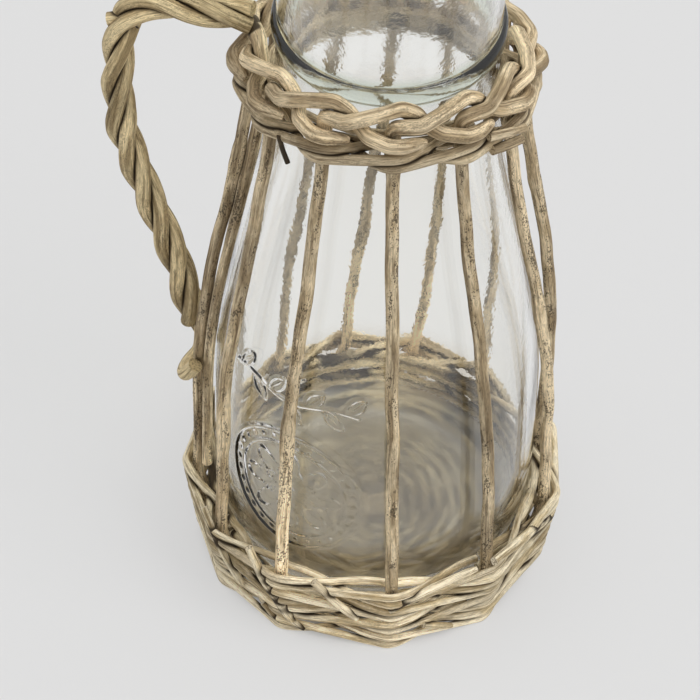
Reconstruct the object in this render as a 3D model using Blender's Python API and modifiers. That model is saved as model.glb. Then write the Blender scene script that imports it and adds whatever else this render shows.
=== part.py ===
"""A clear glass jug in a woven willow cage, modelled rod by rod.

Units are metres and +Z is up. The woven foot stands on z = 0, the front is at -Y and the handle
is on the left, at -X. The origin is under the middle of the whole jug with its handle, so the
glass's axis stands a little to +X of it, on the empty jug_axis that carries every piece. Points
below are given from that axis, and azimuths start at the front and grow towards +X. The willow
is 12 upright stakes whose tops fold down into the collar's border, three-rod wales round the
foot and the neck, a woven floor under the glass, a liner rod beside one stake and a twisted
handle of three rods.
"""

import math

import bmesh
import bpy
from mathutils import Vector

# Glass
BODY_RADIUS = 0.0494
NECK_RADIUS = 0.0326
WALL = 0.0030
BOTTOM_THICKNESS = 0.0070
PUNT_DEPTH = 0.0016
HEEL_DEPTH = 0.0094
HEEL_HEIGHT = 0.0365
SHOULDER_LOW = 0.066
SHOULDER_HIGH = 0.200
RING_MIDDLE = 0.209
RING_HALF_HEIGHT = 0.0032
RING_BULGE = 0.0015
LIP_TOP = 0.262
LIP_HEIGHT = 0.0090
LIP_BULGE = 0.0020

# Willow rods
STAKE_RADIUS = 0.0019
BORDER_ROD_RADIUS = 0.0022
WALL_ROD_RADIUS = 0.0014
COLLAR_ROD_RADIUS = 0.0016
SPOKE_RADIUS = 0.0013
FLOOR_ROD_RADIUS = 0.0012
STRAND_RADIUS = 0.0021
LINER_RADIUS = 0.0017

# Fits
SEAT_GAP = 0.0003
WALL_WEAVE_GAP = 0.00080
COLLAR_WEAVE_GAP = 0.00070
FLOOR_WEAVE_GAP = 0.00045
WALL_WALE_SLACK = 0.0009
COLLAR_WALE_SLACK = 0.0005

# Cage
WALE_GROUPS = 4
STAKES = 3 * WALE_GROUPS
FIRST_STAKE_AZIMUTH = 3.0
STAKE_SHIFTS = (0, 0, 0, 0, -1, -4, -7, -10, -7, 0, 0, 0)
STAKE_LEANS = (4, 8, 15, 14, 16, 17, 16, 15, 7, -1, -1, -3)
WALL_WALES = 4
WALL_STRAIGHTNESS = 0.6
FOOT_FLAT = 0.0004
FOOT_FLARE = 0.0045
CAGE_BEND_HIGH = 0.208
COLLAR_MIDDLE = 0.1930
COLLAR_DROP = 0.0120

# Woven floor
FLOOR_RINGS = 6
FLOOR_CENTRE_RADIUS = 0.021
FLOOR_TWIST = 7.0

# Handle, as distances from the Z axis and heights
HANDLE_STAKE = 9
HANDLE_TURNS = 3.3
HANDLE_POINTS = 34
HANDLE_REACH = 0.0790
HANDLE_HEIGHT = 0.2085
HANDLE_LOW_END = 0.071
HANDLE_ENDS = (0.93, 1.0, 1.0)

STEPS_PER_STAKE = 3
GLASS_SEGMENTS = 28

GLASS_COLOUR = (0.80, 0.84, 0.82, 1.0)
STAKE_COLOUR = (0.33, 0.26, 0.16, 1.0)
WEAVER_COLOUR = (0.45, 0.37, 0.25, 1.0)
HANDLE_COLOUR = (0.30, 0.23, 0.14, 1.0)

stake_pitch = math.tau / STAKES
wall_reach = STAKE_RADIUS + WALL_ROD_RADIUS + WALL_WEAVE_GAP
collar_reach = STAKE_RADIUS + COLLAR_ROD_RADIUS + COLLAR_WEAVE_GAP
border_pitch = 2 * BORDER_ROD_RADIUS + SEAT_GAP
floor_reach = SPOKE_RADIUS + FLOOR_ROD_RADIUS + FLOOR_WEAVE_GAP
floor_middle = floor_reach + FLOOR_ROD_RADIUS + SEAT_GAP
strand_offset = (2 * STRAND_RADIUS + 3 * SEAT_GAP) / math.sqrt(3)
rope_radius = strand_offset + STRAND_RADIUS
glass_base = floor_middle + floor_reach + FLOOR_ROD_RADIUS + SEAT_GAP
heel_top = glass_base + HEEL_HEIGHT


def wale_climb(rod_radius, slack):
    """How far a rod rises and sinks about the middle of its wale.

    The two rods that pass outside the same stake then lie a rod's width and the slack apart.
    """
    return (rod_radius + slack / 2) / math.sin(math.tau / 3)


wall_climb = wale_climb(WALL_ROD_RADIUS, WALL_WALE_SLACK)
wall_pitch = 2 * (wall_climb + WALL_ROD_RADIUS) + SEAT_GAP
wall_first = wall_pitch / 2 - FOOT_FLAT
wall_last = wall_first + (WALL_WALES - 1) * wall_pitch
wall_rim = wall_last + wall_pitch / 2
collar_climb = wale_climb(COLLAR_ROD_RADIUS, COLLAR_WALE_SLACK)
collar_low = COLLAR_MIDDLE - collar_climb - COLLAR_ROD_RADIUS - SEAT_GAP
collar_top = COLLAR_MIDDLE + collar_climb + COLLAR_ROD_RADIUS + SEAT_GAP


def ease(z, low, high):
    """Falls from 1 at low to 0 at high along half a cosine wave."""
    share = min(max((z - low) / (high - low), 0.0), 1.0)
    return (1 + math.cos(math.pi * share)) / 2


def glass_radius(z):
    """Outer radius of the glass below its neck ring."""
    if z < heel_top:
        drop = min((heel_top - z) / HEEL_HEIGHT, 1.0)
        return BODY_RADIUS - HEEL_DEPTH + HEEL_DEPTH * math.sqrt(1 - drop * drop)
    return NECK_RADIUS + (BODY_RADIUS - NECK_RADIUS) * ease(z, SHOULDER_LOW, SHOULDER_HIGH)


rim_stake_radius = glass_radius(wall_rim) + SEAT_GAP + WALL_ROD_RADIUS + wall_reach
collar_stake_radius = glass_radius(COLLAR_MIDDLE) + SEAT_GAP + COLLAR_ROD_RADIUS + collar_reach
rim_outer_radius = rim_stake_radius + wall_reach + WALL_ROD_RADIUS
axis_x = (HANDLE_REACH + rope_radius - rim_outer_radius) / 2


def cage_radius(z):
    """Distance of the stakes' centre lines from the Z axis."""
    if z < wall_last:
        return rim_stake_radius - FOOT_FLARE * (wall_last - z) / wall_last
    left_at_collar = ease(COLLAR_MIDDLE, SHOULDER_LOW, CAGE_BEND_HIGH)
    left = ease(min(z, COLLAR_MIDDLE), SHOULDER_LOW, CAGE_BEND_HIGH)
    share = (left - left_at_collar) / (1 - left_at_collar)
    return collar_stake_radius + (rim_stake_radius - collar_stake_radius) * share


def polar(azimuth, radius, z):
    """Point at an azimuth in radians, a distance from the Z axis and a height."""
    return Vector((radius * math.sin(azimuth), -radius * math.cos(azimuth), z))


def collar_drop(azimuth):
    """How far the collar, which hangs lowest at the back, lies below its front."""
    return COLLAR_DROP * (1 - math.cos(azimuth)) / 2


def stake_azimuth(number, z):
    """Azimuth of a stake, which leans sideways from the collar down to the wall's rim."""
    which = number % STAKES % len(STAKE_LEANS)
    top = math.radians(FIRST_STAKE_AZIMUTH + STAKE_SHIFTS[which]) + number * stake_pitch
    middle = COLLAR_MIDDLE - collar_drop(top)
    share = min(max((middle - z) / (middle - wall_rim), 0.0), 1.0)
    return top + math.radians(STAKE_LEANS[which]) * share


def collar_azimuth(place):
    """Azimuth in the collar of a place counted in stakes."""
    near = stake_azimuth(math.floor(place), COLLAR_MIDDLE)
    far = stake_azimuth(math.floor(place) + 1, COLLAR_MIDDLE)
    return near + (far - near) * (place - math.floor(place))


def stake_point(number, z, outward=0.0):
    return polar(stake_azimuth(number, z), cage_radius(z) + outward, z)


def smooth_route(points, steps):
    """Catmull-Rom curve through the points, with some steps to each stretch."""
    route = []
    last = len(points) - 1
    for i in range(last):
        before = points[max(i - 1, 0)]
        start = points[i]
        end = points[i + 1]
        after = points[min(i + 2, last)]
        for step in range(steps):
            t = step / steps
            route.append(
                start
                + (end - before) * (t / 2)
                + (before * 2 - start * 5 + end * 4 - after) * (t * t / 2)
                + (start * 3 - before - end * 3 + after) * (t * t * t / 2)
            )
    route.append(points[last])
    return route


def evenly_spaced(route, count):
    """The same route with a number of points at equal distances along it."""
    lengths = [0.0]
    for i in range(1, len(route)):
        lengths.append(lengths[-1] + (route[i] - route[i - 1]).length)
    points = []
    stretch = 1
    for k in range(count):
        along = lengths[-1] * k / (count - 1)
        while lengths[stretch] < along and stretch < len(route) - 1:
            stretch += 1
        share = (along - lengths[stretch - 1]) / (lengths[stretch] - lengths[stretch - 1])
        points.append(route[stretch - 1].lerp(route[stretch], share))
    return points


def add_part(item):
    """Puts a piece among the parts, standing on the jug's axis."""
    parts.objects.link(item)
    item.parent = jug_axis


def new_material(name, colour, roughness):
    material = bpy.data.materials.new(name)
    material.use_nodes = True
    shader = material.node_tree.nodes["Principled BSDF"]
    shader.inputs["Base Color"].default_value = colour
    shader.inputs["Roughness"].default_value = roughness
    shader.inputs["Metallic"].default_value = 0.0
    return material


def new_rod(name, points, radius, colour, closed=False, swell=None, sides=6):
    """One willow rod as a tube along its points, with flat cut ends unless it is a ring.

    Swell gives the rod's thickness at each point, as shares of its radius.
    """
    curve = bpy.data.curves.new(name, "CURVE")
    curve.dimensions = "3D"
    curve.twist_mode = "Z_UP" if closed else "MINIMUM"
    curve.bevel_depth = radius
    curve.bevel_resolution = sides // 2 - 2
    curve.use_fill_caps = not closed
    spline = curve.splines.new("POLY")
    spline.points.add(len(points) - 1)
    for i, point in enumerate(points):
        spline.points[i].co = (*point, 1.0)
        spline.points[i].radius = swell[i] if swell else 1.0
    spline.use_cyclic_u = closed
    curve.materials.append(new_material(name, colour, 0.8))
    rod = bpy.data.objects.new(name, curve)
    add_part(rod)
    return rod


def as_mesh(curve_object):
    """Replaces a tube by the mesh that it shows, so that a modifier can cut it."""
    evaluated = curve_object.evaluated_get(bpy.context.evaluated_depsgraph_get())
    mesh = bpy.data.meshes.new_from_object(evaluated)
    shape = bmesh.new()
    shape.from_mesh(mesh)
    bmesh.ops.remove_doubles(shape, verts=shape.verts, dist=0.00001)
    shape.to_mesh(mesh)
    shape.free()
    name = curve_object.name
    bpy.data.objects.remove(curve_object)
    mesh_object = bpy.data.objects.new(name, mesh)
    add_part(mesh_object)
    return mesh_object


def arc(centre_r, centre_z, radius_r, radius_z, start, end, steps):
    """Points of an elliptical arc in the profile plane, with its angles in degrees."""
    points = []
    for step in range(steps + 1):
        angle = math.radians(start + (end - start) * step / steps)
        points.append((centre_r + radius_r * math.cos(angle), centre_z + radius_z * math.sin(angle)))
    return points


def glass_profile():
    """Half section of the glass: down its outer side from the lip, then up its inner side."""
    lip_outer = NECK_RADIUS + LIP_BULGE
    neck_inner = NECK_RADIUS - WALL
    lip_middle = (lip_outer + neck_inner) / 2
    lip_half = (lip_outer - neck_inner) / 2
    lip_shoulder = LIP_TOP - lip_half
    foot_radius = BODY_RADIUS - HEEL_DEPTH
    shoulder_steps = 6
    outer = arc(lip_middle, lip_shoulder, lip_half, lip_half, 90, 0, 3)
    outer += arc(NECK_RADIUS, lip_shoulder, LIP_BULGE, LIP_HEIGHT - lip_half, -30, -90, 2)
    outer += arc(NECK_RADIUS, RING_MIDDLE, RING_BULGE, RING_HALF_HEIGHT, 90, -90, 4)
    for step in range(shoulder_steps + 1):
        z = SHOULDER_HIGH - (SHOULDER_HIGH - SHOULDER_LOW) * step / shoulder_steps
        outer.append((glass_radius(z), z))
    outer += arc(foot_radius, heel_top, HEEL_DEPTH, HEEL_HEIGHT, 0, -90, 4)
    outer.append((foot_radius - WALL, glass_base))
    outer.append((foot_radius - 2 * WALL, glass_base + PUNT_DEPTH))
    outer.append((0.0, glass_base + PUNT_DEPTH))

    floor_top = glass_base + BOTTOM_THICKNESS
    inner = [(0.0, floor_top)]
    inner += arc(
        foot_radius - WALL, heel_top, HEEL_DEPTH, heel_top - floor_top, -90, 0, 3)
    for step in range(shoulder_steps + 1):
        z = SHOULDER_LOW + (SHOULDER_HIGH - SHOULDER_LOW) * step / shoulder_steps
        inner.append((glass_radius(z) - WALL, z))
    inner += arc(lip_middle, lip_shoulder, lip_half, lip_half, 180, 120, 2)
    return outer, inner


def make_glass():
    outer, inner = glass_profile()
    profile = outer + inner
    edges = []
    for i in range(len(profile)):
        if i != len(outer) - 1:
            edges.append((i, (i + 1) % len(profile)))
    mesh = bpy.data.meshes.new("glass_jug")
    mesh.from_pydata([(r, 0.0, z) for r, z in profile], edges, [])
    jug = bpy.data.objects.new("glass_jug", mesh)
    add_part(jug)
    mesh.materials.append(new_material("glass_jug", GLASS_COLOUR, 0.05))
    screw = jug.modifiers.new("turn", "SCREW")
    screw.axis = "Z"
    screw.angle = math.tau
    screw.steps = GLASS_SEGMENTS
    screw.render_steps = GLASS_SEGMENTS
    screw.use_merge_vertices = True
    screw.merge_threshold = 0.00005
    screw.use_smooth_shade = True
    return jug


# One rod of the collar's border: how far round in stake pitches, then how far outward and how far
# up in rod pitches. The stake rises, folds over to the next one and passes above its knee, goes
# down behind it, comes out below it and ends outside, past the second stake.
BORDER_ROUTE = (
    (0.00, 0.00, 0.00),
    (0.00, 0.00, 0.80),
    (0.08, 0.20, 1.10),
    (0.35, 0.60, 1.34),
    (0.66, 0.20, 1.76),
    (1.12, -0.45, 1.98),
    (1.34, -0.45, 1.45),
    (1.48, -0.40, 0.62),
    (1.66, 0.45, 0.40),
    (1.94, 1.08, 0.28),
    (2.10, 1.06, 0.25),
    (2.28, 0.80, 0.20),
    (2.42, 0.60, 0.05),
)


def make_stakes():
    border_low = collar_top + BORDER_ROD_RADIUS
    body_steps = 5
    for number in range(STAKES):
        heights = [STAKE_RADIUS, wall_last]
        middle = COLLAR_MIDDLE - collar_drop(collar_azimuth(number))
        for step in range(body_steps + 1):
            heights.append(SHOULDER_LOW + (middle - SHOULDER_LOW) * step / body_steps)
        points = [stake_point(number, z) for z in heights]
        swell = [1.0] * len(heights)
        for pitches, out, up in BORDER_ROUTE:
            azimuth = collar_azimuth(number + pitches)
            drop = collar_drop(azimuth)
            radius = cage_radius(COLLAR_MIDDLE - drop) + out * border_pitch
            points.append(polar(azimuth, radius, border_low + up * border_pitch - drop))
            swell.append(BORDER_ROD_RADIUS / STAKE_RADIUS if up else 1.0)
        name = f"stake_{number + 1:02d}"
        new_rod(name, points, STAKE_RADIUS, STAKE_COLOUR, swell=swell)


def wale_strand(middle, climb, reach, straightness, twist, phase, hangs=False):
    """One rod of a three-rod wale: outside two stakes, then inside one, twisting as it goes.

    A wale that hangs goes down towards the back with the collar.
    """
    points = []
    for number in range(STAKES):
        near_side = -1 if (number - phase) % 3 == 0 else 1
        far_side = -1 if (number + 1 - phase) % 3 == 0 else 1
        for step in range(STEPS_PER_STAKE):
            share = step / STEPS_PER_STAKE
            z = middle + twist * climb * math.sin((number + share - phase) * math.tau / 3)
            near = stake_azimuth(number, z)
            half = (stake_azimuth(number + 1, z) - near) / 2
            turn = 2 * half * share
            if hangs:
                z -= collar_drop(near + turn)
            side = near_side + (far_side - near_side) * (1 - math.cos(math.pi * share)) / 2
            sag = 1 - math.cos(half) / math.cos(turn - half)
            radius = (cage_radius(z) + side * reach) * (1 - straightness * sag)
            points.append(polar(near + turn, radius, z))
    return points


def wall_strand(row, phase):
    middle = wall_first + row * wall_pitch
    twist = 1 if row % 2 == 0 else -1
    return wale_strand(middle, wall_climb, wall_reach, WALL_STRAIGHTNESS, twist, phase)


def make_wall():
    foot_cutter = make_foot_cutter()
    for row in range(WALL_WALES):
        for phase in range(3):
            name = f"wall_rod_{row + 1}{'abc'[phase]}"
            points = wall_strand(row, phase)
            rod = new_rod(name, points, WALL_ROD_RADIUS, WEAVER_COLOUR, closed=True)
            if row == 0:
                cut = as_mesh(rod).modifiers.new("flat_foot", "BOOLEAN")
                cut.operation = "DIFFERENCE"
                cut.solver = "EXACT"
                cut.object = foot_cutter


def make_foot_cutter():
    depth = 0.01
    bpy.ops.mesh.primitive_cube_add(size=1.0, location=(0.0, 0.0, -depth / 2))
    cutter = bpy.context.object
    cutter.name = "foot_cutter"
    cutter.scale = (4 * BODY_RADIUS, 4 * BODY_RADIUS, depth)
    bpy.ops.object.transform_apply(location=False, rotation=False, scale=True)
    cutter.hide_render = True
    cutter.display_type = "WIRE"
    for collection in cutter.users_collection:
        collection.objects.unlink(cutter)
    cutters.objects.link(cutter)
    return cutter


def make_collar():
    for phase in range(3):
        points = wale_strand(COLLAR_MIDDLE, collar_climb, collar_reach, 0.0, -1, phase, hangs=True)
        name = f"collar_rod_{'abc'[phase]}"
        new_rod(name, points, COLLAR_ROD_RADIUS, WEAVER_COLOUR, closed=True)


def make_floor():
    """Six sticks crossed three over three and fanned into 12 spokes, with rings woven round."""
    innermost = min(point.xy.length for phase in range(3) for point in wall_strand(0, phase))
    foot_inside = innermost - WALL_ROD_RADIUS - 2 * SEAT_GAP
    first = math.radians(FIRST_STAKE_AZIMUTH + FLOOR_TWIST)
    fan_start = FLOOR_CENTRE_RADIUS - 3 * FLOOR_ROD_RADIUS
    stick_gap = 2 * SPOKE_RADIUS + SEAT_GAP
    for stick in range(6):
        upper = stick >= 3
        level = floor_middle + (stick_gap / 2 if upper else -stick_gap / 2)
        side = stick % 3 - 1
        near = first + (3 * upper + side) * math.tau / 12
        across = first + 3 * upper * math.tau / 12
        beside = polar(across + math.tau / 4, side * stick_gap, level)
        inward = polar(across, 1.6 * stick_gap, 0.0)
        points = [
            polar(near, foot_inside, floor_middle),
            polar(near, fan_start, floor_middle),
            beside + inward,
            beside - inward,
            polar(near + math.pi - 2 * side * math.tau / 12, fan_start, floor_middle),
            polar(near + math.pi - 2 * side * math.tau / 12, foot_inside, floor_middle),
        ]
        new_rod(f"floor_stick_{stick + 1}", points, SPOKE_RADIUS, STAKE_COLOUR)

    outermost = foot_inside - FLOOR_ROD_RADIUS
    for ring in range(FLOOR_RINGS):
        radius = FLOOR_CENTRE_RADIUS
        radius += (outermost - FLOOR_CENTRE_RADIUS) * ring / (FLOOR_RINGS - 1)
        points = []
        for half in range(24):
            over = 0 if half % 2 else (-1) ** (ring + half // 2)
            azimuth = first + half * math.tau / 24
            points.append(polar(azimuth, radius, floor_middle + over * floor_reach))
        new_rod(f"floor_ring_{ring + 1}", points, FLOOR_ROD_RADIUS, WEAVER_COLOUR, closed=True)


def make_liner():
    """A second rod along the handle's stake, from the wall's rim up to the collar.

    It lies beside the stake at its foot and inside it at the collar.
    """
    points = []
    low = wall_rim + 2 * SEAT_GAP
    high = collar_low - collar_drop(collar_azimuth(HANDLE_STAKE))
    apart = STAKE_RADIUS + LINER_RADIUS + 2 * SEAT_GAP
    steps = 10
    for step in range(steps + 1):
        share = step / steps
        z = low + (high - low) * share
        inside = math.radians(38 + 47 * share * share)
        azimuth = stake_azimuth(HANDLE_STAKE, z)
        beside = polar(azimuth + math.tau / 4, apart * math.cos(inside), 0.0)
        points.append(polar(azimuth, cage_radius(z) - apart * math.sin(inside), z) + beside)
    new_rod("liner_rod", points, LINER_RADIUS, STAKE_COLOUR)


# The handle's centre line after its start at the collar: how far out, as shares of the way from
# the cage to the handle's reach, then how far down, as shares of the way from top to low end.
HANDLE_CURVE = (
    (0.157, 0.010),
    (0.639, 0.002),
    (0.904, 0.051),
    (0.976, 0.131),
    (1.000, 0.233),
    (0.960, 0.364),
    (0.679, 0.538),
    (0.321, 0.731),
    (0.145, 0.869),
    (0.024, 1.000),
)


def handle_route(azimuth):
    """Centre line of the handle as (distance, height) points, from the collar round and down."""
    low_end = cage_radius(HANDLE_LOW_END)
    reach = HANDLE_REACH - low_end
    drop = HANDLE_HEIGHT - HANDLE_LOW_END
    stake_radius = cage_radius(COLLAR_MIDDLE - collar_drop(azimuth))
    border_outside = stake_radius + 0.33 * border_pitch + BORDER_ROD_RADIUS
    route = [(border_outside + SEAT_GAP, HANDLE_HEIGHT - 0.020 * drop)]
    for out, down in HANDLE_CURVE:
        route.append((low_end + out * reach, HANDLE_HEIGHT - down * drop))
    return route


# Where the last strand's end goes after the rope: degrees round the handle's stake, from beside
# it towards its outside, and how far below the rope's end, in strand radii.
HANDLE_HOOK = (
    (168, 0.7),
    (140, 1.6),
    (112, 2.2),
    (84, 2.2),
    (58, 1.4),
    (36, 0.2),
    (15, -1.2),
)


def handle_hook():
    points = []
    apart = STAKE_RADIUS + STRAND_RADIUS + 2 * SEAT_GAP
    for degrees, down in HANDLE_HOOK:
        z = HANDLE_LOW_END - down * STRAND_RADIUS
        azimuth = stake_azimuth(HANDLE_STAKE, z)
        turn = math.radians(degrees)
        beside = polar(azimuth + math.tau / 4, apart * math.cos(turn), 0.0)
        points.append(stake_point(HANDLE_STAKE, z, apart * math.sin(turn)) + beside)
    return points


def make_handle():
    """Three rods laid as a rope round the handle's centre line."""
    low_end = cage_radius(HANDLE_LOW_END)
    beside = math.asin((STAKE_RADIUS + rope_radius + SEAT_GAP) / low_end)
    azimuth = stake_azimuth(HANDLE_STAKE, HANDLE_LOW_END) - beside
    route = smooth_route([polar(azimuth, r, z) for r, z in handle_route(azimuth)], 6)
    centre = evenly_spaced(route, HANDLE_POINTS)
    across = polar(azimuth + math.tau / 4, 1.0, 0.0)
    for strand, end in enumerate(HANDLE_ENDS):
        points = []
        for i, point in enumerate(centre[:round(end * HANDLE_POINTS)]):
            along = centre[min(i + 1, HANDLE_POINTS - 1)] - centre[max(i - 1, 0)]
            outward = along.cross(across).normalized()
            turn = math.tau * (HANDLE_TURNS * i / (HANDLE_POINTS - 1) + strand / 3)
            offset = across * math.cos(turn) + outward * math.sin(turn)
            points.append(point + offset * strand_offset)
        if strand == 2:
            points += handle_hook()
        name = f"handle_strand_{'abc'[strand]}"
        new_rod(name, points, STRAND_RADIUS, HANDLE_COLOUR)


for item in list(bpy.data.objects):
    bpy.data.objects.remove(item)

parts = bpy.data.collections.new("wicker_jug")
cutters = bpy.data.collections.new("cutters")
bpy.context.scene.collection.children.link(parts)
bpy.context.scene.collection.children.link(cutters)
jug_axis = bpy.data.objects.new("jug_axis", None)
jug_axis.location.x = axis_x
parts.objects.link(jug_axis)

make_glass()
make_stakes()
make_wall()
make_collar()
make_floor()
make_liner()
make_handle()
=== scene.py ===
import math
import random

import bpy
import numpy as np
from mathutils import Matrix, Vector
from mathutils.kdtree import KDTree


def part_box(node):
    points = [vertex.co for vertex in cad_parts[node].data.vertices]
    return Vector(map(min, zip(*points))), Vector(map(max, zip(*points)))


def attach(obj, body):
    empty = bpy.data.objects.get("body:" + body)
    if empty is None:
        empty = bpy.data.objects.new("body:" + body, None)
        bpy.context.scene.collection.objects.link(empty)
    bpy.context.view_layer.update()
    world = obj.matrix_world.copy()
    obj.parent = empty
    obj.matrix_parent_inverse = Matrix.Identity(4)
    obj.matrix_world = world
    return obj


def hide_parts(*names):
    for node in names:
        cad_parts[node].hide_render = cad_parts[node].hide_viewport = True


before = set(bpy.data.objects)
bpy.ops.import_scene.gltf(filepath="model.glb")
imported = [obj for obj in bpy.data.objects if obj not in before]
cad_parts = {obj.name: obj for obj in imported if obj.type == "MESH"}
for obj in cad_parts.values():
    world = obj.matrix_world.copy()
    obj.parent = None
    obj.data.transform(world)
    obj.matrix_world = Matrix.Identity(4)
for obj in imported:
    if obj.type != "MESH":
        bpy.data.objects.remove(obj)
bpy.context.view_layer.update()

# Metres, Z up, front at -Y, handle at -X. Routes are worked out round the glass's own axis and
# moved onto it when a piece is made.
glassLow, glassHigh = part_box("glass_jug")
axisX = (glassLow.x + glassHigh.x) / 2
scene = bpy.context.scene


def fillSockets(tree, node, values):
    # sockets linked to others or set, by name or number
    for key, value in values.items():
        if isinstance(value, bpy.types.NodeSocket):
            tree.links.new(value, node.inputs[key])
        else:
            node.inputs[key].default_value = value


def addNode(tree, kind, values=None, **settings):
    node = tree.nodes.new(kind)
    for key, value in settings.items():
        setattr(node, key, value)
    fillSockets(tree, node, values or {})
    return node


def addSockets(tree, way, sockets):
    for kind, names in sockets.items():
        for name in names:
            tree.interface.new_socket(name, in_out=way, socket_type="NodeSocket" + kind)


def calc(tree, operation, *terms, clamp=False):
    return addNode(tree, "ShaderNodeMath", dict(enumerate(terms)),
                   operation=operation, use_clamp=clamp).outputs[0]


def vectorCalc(tree, operation, *terms):
    node = addNode(tree, "ShaderNodeVectorMath", dict(enumerate(terms)), operation=operation)
    return node.outputs["Value" if operation in ("DOT_PRODUCT", "LENGTH") else "Vector"]


def vectorOf(tree, *parts):
    return addNode(tree, "ShaderNodeCombineXYZ", dict(enumerate(parts))).outputs[0]


def scaled(tree, vector, factor):
    return addNode(tree, "ShaderNodeVectorMath", {0: vector, "Scale": factor},
                   operation="SCALE").outputs[0]


def spread(tree, value, low, high, bottom, top, **settings):
    # a value between low and high brought between bottom and top
    values = {"Value": value, "From Min": low, "From Max": high, "To Min": bottom, "To Max": top}
    return addNode(tree, "ShaderNodeMapRange", values, **settings).outputs[0]


def rise(tree, value, low, high, top=1.0):
    # 0 below low, top above high, smooth between them
    return spread(tree, value, low, high, 0.0, top, interpolation_type="SMOOTHSTEP")


def fall(tree, value, low, high):
    return calc(tree, "SUBTRACT", 1.0, rise(tree, value, low, high))


def band(tree, value, low, lowInside, highInside, high):
    # 1 between the two inner limits, 0 outside the outer ones
    return calc(tree, "MULTIPLY", rise(tree, value, low, lowInside),
                fall(tree, value, highInside, high))


def swing(tree, noiseValue, amount):
    # a noise between 0 and 1, made to go both ways by an amount
    return calc(tree, "MULTIPLY", calc(tree, "MULTIPLY_ADD", noiseValue, 2.0, -1.0), amount)


def stirred(tree, value, noiseValue, amount):
    # a value moved up and down by a noise
    return calc(tree, "ADD", value, calc(tree, "MULTIPLY_ADD", noiseValue, amount, -amount / 2))


def noise(tree, vector, detail=2.0, roughness=0.5):
    return addNode(tree, "ShaderNodeTexNoise", {"Vector": vector, "Scale": 1.0, "Detail": detail,
                                                "Roughness": roughness}).outputs[0]


def blendColour(tree, factor, first, second, kind="MIX"):
    return addNode(tree, "ShaderNodeMix", {0: factor, 6: first, 7: second},
                   data_type="RGBA", blend_type=kind).outputs[2]


def dimmed(tree, colour, factor):
    grey = addNode(tree, "ShaderNodeCombineColor", {0: factor, 1: factor, 2: factor}).outputs[0]
    return blendColour(tree, 1.0, colour, grey, "MULTIPLY")


def srgb(red, green, blue):
    # a colour as a picture stores it, made linear
    return tuple(
        c / 12.92 if c <= 0.04045 else ((c + 0.055) / 1.055) ** 2.4
        for c in (red / 255, green / 255, blue / 255)
    ) + (1.0,)


def newMaterial(name):
    material = bpy.data.materials.new(name)
    material.use_nodes = True
    return material, material.node_tree, material.node_tree.nodes["Principled BSDF"]


def mixSurface(tree, factor, first, second):
    # the material's surface: the first shader, or the second where the factor is 1
    mix = addNode(tree, "ShaderNodeMixShader",
                  {0: factor, 1: first.outputs[0], 2: second.outputs[0]})
    tree.links.new(mix.outputs[0], tree.nodes["Material Output"].inputs["Surface"])


def addObject(name, data):
    thing = bpy.data.objects.new(name, data)
    scene.collection.objects.link(thing)
    return thing


# the jug's and its cage's shape, as in the CAD
glass = {
    "bodyRadius": 0.0494,
    "neckRadius": 0.0326,
    "wall": 0.0030,
    "bottomThickness": 0.0070,
    "innerCorner": 0.0085,
    "puntDepth": 0.0016,
    "heelDepth": 0.0094,
    "heelHeight": 0.0365,
    "shoulderLow": 0.066,
    "shoulderHigh": 0.200,
    "ringMiddle": 0.209,
    "ringHalfHeight": 0.0032,
    "ringBulge": 0.0015,
    "lipTop": 0.262,
    "lipHeight": 0.0090,
    "lipBulge": 0.0020,
}

cage = {
    "stakeRadius": 0.0019,
    "borderRodRadius": 0.0022,
    "wallRodRadius": 0.0014,
    "collarRodRadius": 0.0016,
    "spokeRadius": 0.0013,
    "floorRodRadius": 0.0012,
    "linerRadius": 0.0017,
    "seatGap": 0.0003,
    "wallWeaveGap": 0.0008,
    "collarWeaveGap": 0.0007,
    "floorWeaveGap": 0.00045,
    "wallSlack": 0.0009,
    "collarSlack": 0.0005,
    "firstStake": 3.0,  # degrees, from the front towards +X
    "stakeShifts": (0, 0, 0, 0, -1, -4, -7, -10, -7, 0, 0, 0),
    "stakeLeans": (4, 8, 15, 14, 16, 17, 16, 15, 7, -1, -1, -3),
    "wallWales": 4,
    "footFlat": 0.0004,
    "footFlare": 0.0045,
    "bendHigh": 0.208,
    "collarMiddle": 0.1930,
    "collarDrop": 0.0120,
    "floorRings": 6,
    "floorCentre": 0.021,
    "floorTwist": 7.0,
}

handle = {
    "strandRadius": 0.0021,
    "stake": 9,
    "turns": 3.3,
    "reach": 0.0790,
    "height": 0.2085,
    "lowEnd": 0.071,
    "ends": (0.93, 1.0, 1.0),  # share of the way down at which each strand ends
}

stakeCount = 12
stakePitch = math.tau / stakeCount
seatGap = cage["seatGap"]
wallReach = cage["stakeRadius"] + cage["wallRodRadius"] + cage["wallWeaveGap"]
collarReach = cage["stakeRadius"] + cage["collarRodRadius"] + cage["collarWeaveGap"]
borderPitch = 2 * cage["borderRodRadius"] + seatGap
floorReach = cage["spokeRadius"] + cage["floorRodRadius"] + cage["floorWeaveGap"]
floorMiddle = floorReach + cage["floorRodRadius"] + seatGap
strandOffset = (2 * handle["strandRadius"] + 3 * seatGap) / math.sqrt(3)
glassBase = floorMiddle + floorReach + cage["floorRodRadius"] + seatGap
heelTop = glassBase + glass["heelHeight"]

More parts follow.
